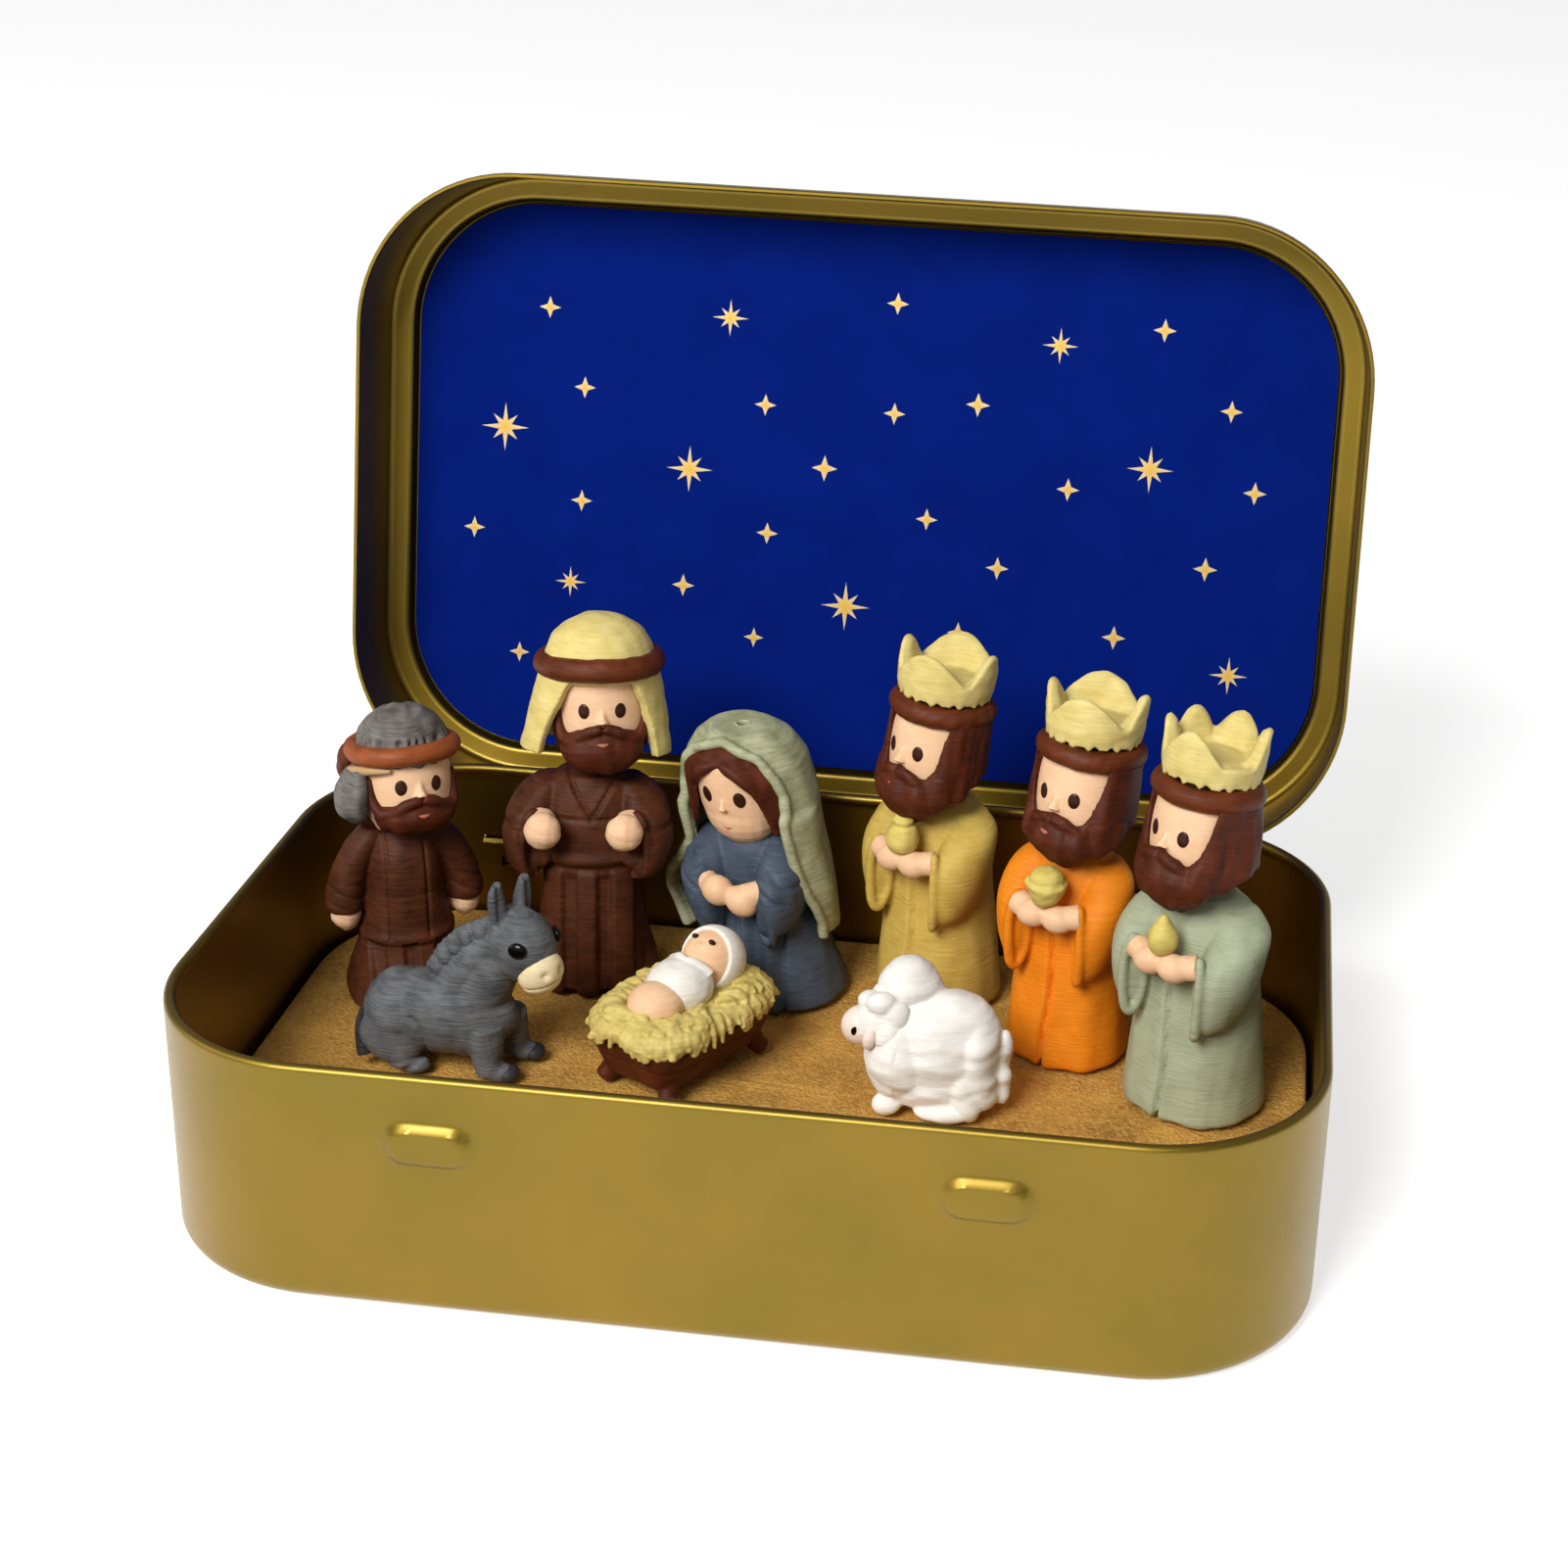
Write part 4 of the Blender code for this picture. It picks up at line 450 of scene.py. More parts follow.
for x, y, span in STARS:
    points = 16 if span > EIGHT_POINTED_FROM else 8
    start = len(verts)
    centre_y = y - HEM_WIDTH / 2 + LID_WIDTH / 2
    for lift in (0.0, FOIL_THICKNESS):
        for index in range(points):
            turn = 2 * math.pi * index / points
            long_point = index % 4 == 0 if points == 16 else index % 2 == 0
            short_point = index % 2 == 0
            reach = 0.5 if long_point else 0.36 if short_point else 0.145
            if points == 8:
                reach = 0.5 if long_point else 0.19
            reach *= span * (1.0 if lift == 0.0 else 0.94)
            verts.append((x + reach * math.cos(turn), centre_y + reach * math.sin(turn), card_face - lift))
            tips.append(1.0 if short_point and (points == 16 or long_point) else 0.25)
    verts.append((x, centre_y, card_face - FOIL_THICKNESS * 1.3))
    tips.append(0.0)
    middle = len(verts) - 1
    for i in range(points):
        j = (i + 1) % points
        faces.append((start + i, start + j, start + points + j, start + points + i))
        faces.append((start + points + i, start + points + j, middle))
    faces.append(tuple(start + i for i in reversed(range(points))))
stars = new_piece("card_stars", lid_place(verts), faces, smooth=False)
fade = stars.data.attributes.new("tip", "FLOAT", "POINT")
fade.data.foreach_set("value", tips)

# Gold foil: a matt metallic film, warm yellow in the middle of a star and pale towards its tips
foil, tree, shader, _ = raw_finish("gold_foil")
tip = add_node(tree, "ShaderNodeAttribute", attribute_name="tip")
tones = {0: tip["Fac"], "A": srgb("#e0b02c"), "B": srgb("#d8cdb4")}
mixed = add_node(tree, "ShaderNodeMix", tones, data_type="RGBA")
wire(shader, {"Base Color": mixed["Result"], "Metallic": 0.25, "Roughness": 0.5})
stars.data.materials.append(foil)
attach(stars, "lid")

# Sand floor
# A solid block that fills the bottom of the base, its top coated with fine glued sand. The
# coat is a little uneven.

FLOOR_BOTTOM = 0.65
FLOOR_TOP = 5.95
FLOOR_INSET = 0.95
FLOOR_EDGE = 0.4
foot = FLOOR_BOTTOM + FOOT_RADIUS
shoulder = FLOOR_TOP - FLOOR_EDGE
section = [(FLOOR_INSET + FOOT_RADIUS, FLOOR_BOTTOM), (FLOOR_INSET, foot)]
section += straight((FLOOR_INSET, foot), (FLOOR_INSET, shoulder), 4)
section += arc(FLOOR_INSET + FLOOR_EDGE, shoulder, FLOOR_EDGE, 180, 90, 4)
section += [(inset, FLOOR_TOP) for inset in np.linspace(1.8, 28.0, 54)]
verts, ring = tin_rings(section, BASE_LENGTH, BASE_WIDTH, CORNER_RADIUS, 150, 72, 22)
faces = bands(ring, len(section)) + ends(ring, len(verts))


def waves(points, size, seed, count=9):
    """A smooth random field from -1 to 1, its lumps about a size in millimetres on each axis."""
    picks = np.random.default_rng(seed)
    directions = picks.normal(size=(count, 3)) / np.array(size, float) * 2.2
    phases = picks.uniform(0, 2 * math.pi, count)
    return np.sin(points @ directions.T + phases).sum(axis=1) / math.sqrt(count) / 1.6


points = np.array(verts)
on_top = points[:, 2] > FLOOR_TOP - 0.05
unevenness = 0.07 * waves(points, (5, 5, 5), 3) + 0.05 * waves(points, (1.6, 1.6, 1.6), 4)
points[:, 2] += np.where(on_top, np.clip(unevenness, -0.16, 0.16), 0)
sand = new_piece("sand_bed", points, faces)

# Fine craft sand: tan grains a third of a millimetre across, matt, with darker and paler ones
grit, tree, shader, place = raw_finish("craft_sand")
clouds = {"Vector": place, "Scale": 180.0, "Detail": 5.0, "Roughness": 0.6}
patch = add_node(tree, "ShaderNodeTexNoise", clouds)
spread = add_node(tree, "ShaderNodeMapRange", {"Value": patch["Fac"], "From Min": 0.3, "From Max": 0.7})
tones = {0: spread[0], "A": srgb("#94641a"), "B": srgb("#c8923a")}
tone = add_node(tree, "ShaderNodeMix", tones, data_type="RGBA")
speck = add_node(tree, "ShaderNodeTexNoise", {"Vector": place, "Scale": 2600.0, "Detail": 2.0})
paler = {"Value": speck["Fac"], "From Min": 0.35, "From Max": 0.68, "To Max": 0.45}
spots = add_node(tree, "ShaderNodeMapRange", paler)
tones = {0: spots[0], "A": tone["Result"], "B": srgb("#deb262")}
mixed = add_node(tree, "ShaderNodeMix", tones, data_type="RGBA")
grains = add_node(tree, "ShaderNodeTexVoronoi", {"Vector": place, "Scale": 3200.0})
bump = add_node(tree, "ShaderNodeBump", {"Height": grains["Distance"], "Strength": 0.6, "Distance": 0.0002})
wire(shader, {"Base Color": mixed["Result"], "Normal": bump[0], "Roughness": 0.9})
sand.data.materials.append(grit)
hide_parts("sand_floor")
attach(sand, "base")

# The three kings
# Crowned kings, each printed in parts and glued: a robe with wide hanging sleeves, hands joined
# on a gift, a head, hair and beard in one, a rolled headband and a crown with rounded points.

STAND_HEIGHT = 6.25
HEAD_RADIUS = 4.1
HEAD_HEIGHT = 8.4
KING_SHOULDER = 20.3
KING_HAND_HEIGHT = 15.63
KING_HEAD_TURN = -11.0
KING_HAIRLINE = 55
CROWN_HEIGHT = 5.7
CROWN_VALLEY = 3.1
CROWN_RADIUS = 4.5
GIFT_HEIGHT = 3.4
GIFT_RADIUS = 1.5
CUFF_RADIUS = 0.42


def stand_at(x, y, heading):
    """Where a figure stands on the sand, its heading in degrees, 0 facing the front."""
    turn = Matrix.Rotation(math.radians(heading), 4, "Z")
    return np.array(Matrix.Translation((x, y, STAND_HEIGHT)) @ turn)


def head_at(place, base, tilt, roll=0.0, forward=0.0, aside=0.0, turn=0.0):
    """The head's own frame, with the middle of the chin line at its origin."""
    spin = Matrix.Identity(4)
    for axis, angle in (("Z", turn), ("X", tilt), ("Y", roll)):
        spin = spin @ Matrix.Rotation(math.radians(angle), 4, axis)
    return place @ np.array(Matrix.Translation((aside, -forward, base)) @ spin)


def flowing(rows, steps):
    """More rows between the given ones, on smooth curves through them."""
    table = np.array(rows, float)
    last = len(table) - 1
    at = np.linspace(0, last, last * steps + 1)
    low = np.clip(at.astype(int), 0, last - 1)
    t = (at - low)[:, None]
    p0 = table[np.maximum(low - 1, 0)]
    p1 = table[low]
    p2 = table[low + 1]
    p3 = table[np.minimum(low + 2, last)]
    bend = (2 * p0 - 5 * p1 + 4 * p2 - p3) * t ** 2 + (3 * p1 - p0 - 3 * p2 + p3) * t ** 3
    return 0.5 * (2 * p1 + (p2 - p0) * t + bend)


def turned(rows, sides=40, power=2.0, steps=4):
    """A solid through level rings (x, y, height, half width, half depth), smooth between them."""
    table = flowing(rows, steps)
    angles = np.linspace(0, 2 * math.pi, sides, endpoint=False)
    across = np.sign(np.cos(angles)) * np.abs(np.cos(angles)) ** (2 / power)
    deep = np.sign(np.sin(angles)) * np.abs(np.sin(angles)) ** (2 / power)
    verts = []
    for x, y, z, half_x, half_y in table:
        verts += list(zip(x + max(half_x, 0.05) * across, y + max(half_y, 0.05) * deep, [z] * sides))
    return verts, bands(sides, len(table)) + ends(sides, len(verts))


def egg(centre, radii, turn=(0.0, 0.0, 0.0), sides=20):
    """An egg shape, its radii along its own axes, turned by angles in degrees."""
    heights = np.sin(np.linspace(-math.pi / 2 + 0.12, math.pi / 2 - 0.12, 11))
    rows = [(0.0, 0.0, height, *[math.sqrt(1 - height * height)] * 2) for height in heights]
    verts, faces = turned(rows, sides, steps=1)
    spin = Matrix.Identity(3)
    for axis, angle in zip("XYZ", turn):
        spin = Matrix.Rotation(math.radians(angle), 3, axis) @ spin
    return (np.array(verts) * radii) @ np.array(spin).T + centre, faces


def rope(points, radii, sides=12, steps=5, closed=False, flat=1.0):
    """A round cord along a smooth path; flat squeezes it in the level direction across the path."""
    rows = [(*point, radius) for point, radius in zip(points, radii)]
    if closed:
        rows = flowing(rows[-1:] + rows + rows[:2], steps)[steps:steps + len(rows) * steps]
    else:
        rows = flowing(rows, steps)
    path = rows[:, :3]
    if closed:
        along = np.roll(path, -1, axis=0) - np.roll(path, 1, axis=0)
    else:
        along = np.gradient(path, axis=0)
    along /= np.linalg.norm(along, axis=1)[:, None]
    side = np.cross(along, (0.0, 0.0, 1.0))
    weak = np.linalg.norm(side, axis=1) < 0.2
    side[weak] = np.cross(along[weak], (0.0, 1.0, 0.0))
    side /= np.linalg.norm(side, axis=1)[:, None]
    for index in range(1, len(side)):
        if side[index] @ side[index - 1] < 0:
            side[index] = -side[index]
    over = np.cross(side, along)
    verts = []
    for index, row in enumerate(rows):
        for step in range(sides):
            angle = 2 * math.pi * step / sides
            reach = side[index] * math.cos(angle) * flat + over[index] * math.sin(angle)
            verts.append(path[index] + reach * row[3])
    faces = bands(sides, len(rows), closed=closed)
    if not closed:
        faces += ends(sides, len(verts))
    return verts, faces


def cloth(grid, thickness):
    """A thick sheet on a grid of points, grown to one side along its normals."""
    grid = np.array(grid, float)
    rows, columns = grid.shape[:2]
    down = np.gradient(grid, axis=0)
    across = np.gradient(grid, axis=1)
    normal = np.cross(down, across)
    normal /= np.maximum(np.linalg.norm(normal, axis=2), 1e-9)[:, :, None]
    verts = np.concatenate([grid.reshape(-1, 3), (grid + normal * thickness).reshape(-1, 3)])
    count = rows * columns
    faces = []
    for row in range(rows - 1):
        for column in range(columns - 1):
            i = row * columns + column
            faces.append((i, i + 1, i + columns + 1, i + columns))
            faces.append((count + i, count + i + columns, count + i + columns + 1, count + i + 1))
    edge = list(range(columns))
    edge += [row * columns + columns - 1 for row in range(1, rows)]
    edge += [(rows - 1) * columns + column for column in range(columns - 2, -1, -1)]
    edge += [row * columns for row in range(rows - 2, 0, -1)]
    for i, j in zip(edge, edge[1:] + edge[:1]):
        faces.append((i, j, count + j, count + i))
    return verts, faces


def sculpt(name, parts, place, voxel=0.2, rounds=3, carve=None):
    """One printed piece: overlapping solids fused into one skin, softened, carved and placed.
    Carving moves the skin in or out by millimetres that depend on where it is."""
    verts = []
    faces = []
    for part_verts, part_faces in parts:
        start = len(verts)
        verts += [tuple(point) for point in part_verts]
        faces += [tuple(start + i for i in face) for face in part_faces]
    mesh = bpy.data.meshes.new(name)
    mesh.from_pydata(verts, [], faces)
    piece = bpy.data.objects.new(name, mesh)
    bpy.context.scene.collection.objects.link(piece)
    fuse = piece.modifiers.new("fuse", "REMESH")
    fuse.mode = "VOXEL"
    fuse.voxel_size = voxel
    soften = piece.modifiers.new("soften", "SMOOTH")
    soften.factor = 0.5
    soften.iterations = rounds
    take_shape(piece)
    mesh = piece.data
    points = np.empty(len(mesh.vertices) * 3, np.float32)
    mesh.vertices.foreach_get("co", points)
    points = points.reshape(-1, 3).astype(float)
    if carve:
        normals = np.empty(len(mesh.vertices) * 3, np.float32)
        mesh.vertex_normals.foreach_get("vector", normals)
        points += normals.reshape(-1, 3) * carve(points)[:, None]
    points = (points @ place[:3, :3].T + place[:3, 3]) * MM
    mesh.vertices.foreach_set("co", points.astype(np.float32).ravel())
    mesh.update()
    mesh.shade_smooth()
    return piece


def finish(piece, material, slot, body, *nodes):
    """Give a piece its material, the body it moves with and the solids it stands for. The slot is not used.
    """
    piece.data.materials.clear()
    piece.data.materials.append(material)
    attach(piece, body)
    if nodes:
        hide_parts(*nodes)


def printed(name, colour, deep, roughness=0.58, streaks=1.0):
    """Matt printed resin: fine level layer lines, broken into streaks as on a hand-finished
    print, and a faint unevenness of colour about 2 mm across. Layers are drawn at 0.18 mm."""
    material, tree, shader, place = raw_finish(name)
    level = add_node(tree, "ShaderNodeMapping", {"Vector": place, "Scale": (450.0, 450.0, 5500.0)})
    lines = {"Vector": level[0], "Scale": 1.0, "Detail": 3.0, "Roughness": 0.6}
    layers = add_node(tree, "ShaderNodeTexNoise", lines)
    cloud = add_node(tree, "ShaderNodeTexNoise", {"Vector": place, "Scale": 500.0, "Detail": 4.0})
    both = add_node(tree, "ShaderNodeMath", {0: layers["Fac"], 1: cloud["Fac"]}, operation="ADD")
    shade = add_node(tree, "ShaderNodeMapRange", {"Value": both[0], "From Min": 0.7, "From Max": 1.3})
    tones = {0: shade[0], "A": srgb(deep), "B": srgb(colour)}
    mixed = add_node(tree, "ShaderNodeMix", tones, data_type="RGBA")
    depth = {"Height": layers["Fac"], "Strength": 0.55 * streaks, "Distance": 0.00012}
    bump = add_node(tree, "ShaderNodeBump", depth)
    wire(shader, {"Base Color": mixed["Result"], "Normal": bump[0],
                  "Roughness": roughness, "Specular IOR Level": 0.22})
    return material


skin = printed("printed_resin_skin", "#f0c8a2", "#e6b88e", 0.5, 0.25)
wire(skin.node_tree.nodes["Principled BSDF"], {"Subsurface Weight": 0.15, "Subsurface Scale": 0.0008,
                                               "Subsurface Radius": (1.0, 0.35, 0.2)})
brown = printed("printed_resin_brown", "#5c260e", "#3c1606", 0.56, 0.8)
band_brown = printed("printed_resin_band_brown", "#6a3012", "#4c200a", 0.52, 0.6)
cream = printed("printed_resin_cream", "#dfcd88", "#cdb768", 0.6, 0.8)
gift_cream = printed("printed_resin_gift", "#dcc872", "#cab358", 0.6, 0.6)
eye_brown = printed("eye_enamel_brown", "#3a1a0c", "#2c1208", 0.3, 0.2)
lip_rose = printed("lip_enamel_rose", "#b06a54", "#a35f4b", 0.5, 0.2)

# Share of the shoulder height, share of the hem's radius, depth against width
ROBE_SECTION = ((0.0, 0.88, 0.93), (0.015, 0.96, 0.93), (0.06, 1.0, 0.93), (0.33, 0.92, 0.92),
                (0.60, 0.82, 0.90), (0.80, 0.82, 0.84), (0.94, 0.66, 0.80), (1.00, 0.40, 0.90))
# Wide sleeve: share of the shoulder height, then of the hem's radius: out, forward, wide, deep
WIDE_SLEEVE = ((0.47, 0.58, 0.60, 0.10, 0.18), (0.52, 0.64, 0.56, 0.24, 0.38), (0.64, 0.69, 0.46, 0.35, 0.55),
               (0.78, 0.72, 0.36, 0.38, 0.58), (0.89, 0.68, 0.14, 0.36, 0.44), (0.965, 0.51, 0.0, 0.24, 0.28))


def robe_rows(section, shoulder, hem):
    """The rings of a robe's body, from the shares in its section."""
    return [(0.0, 0.0, high * shoulder, wide * hem, wide * deep * hem) for high, wide, deep in section]


def sleeve_rows(side, shoulder, hem, apart, fullness, section=WIDE_SLEEVE):
    """The rings of a wide sleeve, on the left for side 1 and on the right for -1."""
    return [(side * out * hem * apart, -forward * hem, high * shoulder, wide * hem * fullness, deep * hem)
            for high, out, forward, wide, deep in section]


def cuff(side, x, y, low, high, open_x, open_y, radius):
    """The thick edge of a wide sleeve: an upright almond from the wrist down to the sleeve's tip."""
    points = []
    for step in range(12):
        angle = 2 * math.pi * step / 12
        t = math.cos(angle) * (1 - 0.18 * math.cos(angle))
        height = (high + low) / 2 + math.sin(angle) * (high - low) / 2
        points.append((side * (x + open_x * t), y - open_y * t, height))
    return rope(points, [radius] * 12, 10, 4, closed=True)


def uneven(depth, size, seed, count=9):
    """Carving of a hand-finished surface: soft lumps of a depth, about a size in millimetres."""
    return lambda points: depth * waves(points, size, seed, count)


def eyes(name, head, body, surface=4.15, height=5.0, apart=1.6, size=(0.56, 0.20, 0.74)):
    """A pair of domed oval eyes set in the face, level with each other. Without a height given they
    sit a little over half way up the head."""
    parts = []
    turn = math.degrees(math.asin(apart / surface))
    for side in (-1, 1):
        y = -math.sqrt(surface ** 2 - apart ** 2) + 0.04
        parts.append(egg((side * apart, y, height), size, (0, 0, side * turn)))
    pair = sculpt(name + "_eyes", parts, head, 0.07, 1)
    finish(pair, eye_brown, "brown_print", body)


# Share of the head's height, share of its radius
HEAD_SECTION = ((0.0, 0.36), (0.03, 0.52), (0.10, 0.77), (0.30, 0.97), (0.55, 1.02), (0.80, 1.0),
                (0.94, 0.93), (1.0, 0.84))


def skull(nose=0.62, lift=0.0, chin=0.0):
    """A head with a flat top, softly rounded, and a small nose. The nose can be lifted, and the chin
    raised by a share of the head's height."""
    rows = [(0.0, 0.0, (chin + (1 - chin) * high) * HEAD_HEIGHT, wide * HEAD_RADIUS, wide * HEAD_RADIUS)
            for high, wide in HEAD_SECTION]
    line = [(0, y, z + lift) for y, z in ((-4.0, 5.2), (-4.28, 4.4), (-4.45, 3.85))]
    ridge = rope(line, [nose * 0.35, nose * 0.55, nose], 10, 4)
    return [turned(rows), ridge]


def bearded(name, head, body, hairline, seed, length, flare=0.0):
    """Hair and a full beard in one shell about the head, its tip a little to one side. The shell's
    upper edge falls from under the nose to the cheeks and stands upright at the hairline, which is
    an angle from the front. A flare spreads the hair at one side."""
    corner = (0, 8, 22, hairline - 19, hairline - 11, hairline - 5, hairline - 1, hairline + 3, 180)
    upper = (3.7, 3.6, 2.9, 3.0, 3.9, 5.4, 7.0, 8.3, 8.3)
    grid = []
    for share in np.linspace(0, 1, 26):
        row = []
        for angle in np.linspace(-180, 180, 121):
            off = abs(angle)
            top = np.interp(off, corner, upper)
            front = max(math.cos(min(off / 105, 1) * math.pi / 2), 0.0)
            point = max(math.cos(min(abs(angle - 14) / 105, 1) * math.pi / 2), 0.0)
            bottom = 0.8 + 1.6 * min(max((off - 55) / 40, 0.0), 1.0) - length * point ** 1.3
            reach = 4.72 + 0.62 * front ** 2
            edge = 4.34 + 0.36 * min(max((off - hairline + 12) / 16, 0.0), 1.0)
            reach += flare * math.exp(-((angle - 112) / 26) ** 2)
            reach -= 0.5 * flare * math.exp(-((angle - 74) / 7) ** 2)
            low = max(1.2, bottom + 0.6)
            if share < 0.55:
                part = share / 0.55
                z = top + (low - top) * part
                radius = edge + (reach - edge) * math.sin(part * math.pi / 2)
            else:
                turn = (share - 0.55) / 0.45 * math.radians(82)
                z = low + (bottom - low) * math.sin(turn)
                radius = reach * math.cos(turn)
            turn = math.radians(angle)
            row.append((radius * math.sin(turn), -radius * math.cos(turn), z))
        grid.append(row)
    hair = [cloth(grid, -0.9), egg((0, -0.6, 1.5), (3.9, 4.1, 2.3))]
    for side in (-1, 1):
        lock = ((0.15, 4.6, 3.15), (1.4, 4.65, 2.9), (2.8, 4.5, 2.0))
        points = [(side * x, -math.sqrt(reach ** 2 - x * x), z) for x, reach, z in lock]
        hair.append(rope(points, (0.42, 0.55, 0.36), 12, 4))

    def strokes(points):
        turn = np.arctan2(points[:, 0], -points[:, 1])
        facets = np.abs(np.sin(turn * 7 + points[:, 2] * 0.35 + seed)) - 0.5
        return 0.16 * facets * (points[:, 2] < 3.2) + 0.13 * waves(points, (1.0, 1.0, 3.6), seed)

    carved = sculpt(name + "_beard_print", hair, head, 0.16, 2, strokes)
    finish(carved, brown, "brown_print", body, name + "_beard")
    mouth = rope([(-0.6, -4.95, 2.05), (0.0, -5.05, 1.92), (0.6, -4.95, 2.05)], (0.10, 0.22, 0.10), 10, 4)
    finish(sculpt(name + "_mouth", [mouth], head, 0.07, 1), lip_rose, "skin", body)


def headband(name, head, reach, thick, lift, body, seed, material=band_brown):
    """The rolled headband round the top edge of the head, a little uneven as rolled by hand."""
    ring = []
    for step in range(16):
        angle = 2 * math.pi * step / 16
        swell = reach + 0.05 * math.sin(angle * 3 + seed)
        level = HEAD_HEIGHT + lift + 0.10 * math.cos(angle * 2 + seed)
        ring.append((swell * math.sin(angle), -swell * math.cos(angle), level))
    parts = [rope(ring, [thick] * 16, 16, 4, closed=True)]
    roll = sculpt(name + "_headband_print", parts, head, 0.15, 2, uneven(0.06, (1.3, 1.3, 0.9), seed))
    finish(roll, material, "band_print", body, name + "_headband")


def crown_form(peaks):
    """A crown's cup with a rounded point at each angle, counted from the front in degrees."""
    count = 120
    bottom = HEAD_HEIGHT + 1.05
    valley = CROWN_VALLEY - 0.75
    rise = CROWN_HEIGHT - CROWN_VALLEY
    levels = [[] for _ in range(8)]
    for index in range(count):
        turn = 2 * math.pi * index / count
        lift = 0.0
        for angle, high, wide in peaks:
            off = abs((math.degrees(turn) - angle + 180) % 360 - 180)
            lift = max(lift, high * math.cos(min(off / wide, 1) * math.pi / 2) ** 1.1)
        top = bottom + valley + rise * lift
        x = math.sin(turn)
        y = -math.cos(turn)
        edge = bottom + 0.32 + 0.17 * math.sin(turn * 19 + 1) + 0.12 * math.sin(turn * 31)
        wall = ((0.80, edge + 0.1), (0.92, edge), (0.965, bottom + 1.4), (0.985, (bottom + 1.4 + top) / 2),
                (0.99, top - 0.2), (0.92, top), (0.80, top - 0.35), (0.60, bottom + valley * 0.95))
        for level, (share, height) in zip(levels, wall):
            level.append((CROWN_RADIUS * share * x, CROWN_RADIUS * share * y, height))
    verts = [point for level in levels for point in level]
    return verts, bands(count, len(levels)) + ends(count, len(verts))


def king(name, stand, hem, robe_material, robe_slot, gift_rows, peaks, seed, head_place, beard, flare=0.0):
    """One king, from the robe up."""
    place = stand_at(*stand)
    aside, forward, base = head_place
    head = head_at(place, base, -8.0, forward=forward, aside=aside, turn=KING_HEAD_TURN)
    reach = hem + 0.3
    parts = [turned(robe_rows(ROBE_SECTION, KING_SHOULDER, hem), 56, 2.2)]
    for side in (-1, 1):
        parts.append(turned(sleeve_rows(side, KING_SHOULDER, hem, 1.0, 1.0), 32))
        parts.append(cuff(side, hem * 0.54, -hem * 0.93, KING_SHOULDER * 0.475, KING_HAND_HEIGHT + 1.1,
                          0.62, 0.75, CUFF_RADIUS))

    def folds(points):
        low = np.clip((KING_HAND_HEIGHT - 1.2 - points[:, 2]) / 3.0, 0, 1)
        front = np.clip(-points[:, 1] / hem * 1.6, 0, 1)
        line = points[:, 0] - 0.25 * np.sin(points[:, 2] * 0.45 + seed)
        groove = -0.95 * np.exp(-(line / 0.20) ** 2) * low * front
        lobes = 0.10 * np.cos(points[:, 0] * 1.75) * low * front * (np.abs(points[:, 0]) < 4.6)
        pleats = 0.03 * np.sin(np.arctan2(points[:, 1], points[:, 0]) * 9 + seed) * low * (1 - front)
        return groove + lobes + pleats + 0.05 * waves(points, (1.4, 1.4, 2.6), seed)

    robe = sculpt(name + "_robe_print", parts, place, 0.2, 3, folds)
    finish(robe, robe_material, robe_slot, name, name + "_robe")

    hands = []
    for side in (-1, 1):
        hands.append(egg((side * 1.15, -reach, KING_HAND_HEIGHT), (1.55, 1.2, 1.25), (0, side * 10, 0)))
        palm = (side * 1.2, -reach + 0.1, KING_HAND_HEIGHT)
        wrist = (side * 3.1, -reach * 0.86, KING_HAND_HEIGHT + 0.35)
        hands.append(rope([palm, wrist], (1.05, 1.15), 16, 3))
    finish(sculpt(name + "_hands_print", hands, place, 0.14, 3), skin, "skin", name, name + "_hands")

    palms = KING_HAND_HEIGHT + 1.2
    rows = [(0.0, -reach, palms + high * GIFT_HEIGHT, wide * GIFT_RADIUS, wide * GIFT_RADIUS)
            for high, wide in gift_rows]
    lumps = uneven(0.09, (0.8, 0.8, 0.9), seed + 5)
    gift = sculpt(name + "_gift_print", [turned(rows, 24)], place, 0.12, 2, lumps)
    finish(gift, gift_cream, "cream_print", name, name + "_gift")

    finish(sculpt(name + "_face", skull(), head, 0.14, 3), skin, "skin", name, name + "_head")
    eyes(name, head, name)

    bearded(name, head, name, KING_HAIRLINE, seed + 2, beard, flare)
    headband(name, head, 3.92, 1.0, 0.3, name, seed + 3)

    lumps = uneven(0.07, (1.3, 1.3, 1.0), seed + 4)
    top = sculpt(name + "_crown_print", [crown_form(peaks)], head, 0.16, 2, lumps)
    finish(top, cream, "cream_print", name, name + "_crown")


# Each gift from its foot up: share of its height, share of its radius
BAG = ((0.0, 0.80), (0.25, 1.0), (0.60, 0.82), (0.72, 0.55), (0.85, 0.66), (1.0, 0.40))
POT = ((0.0, 0.60), (0.15, 0.84), (0.35, 1.04), (0.54, 1.22), (0.61, 1.20), (0.66, 1.02), (0.80, 0.98),
       (0.93, 0.74), (1.0, 0.3))
FLASK = ((0.0, 0.62), (0.25, 0.86), (0.50, 0.82), (0.75, 0.50), (0.90, 0.30), (1.0, 0.16))
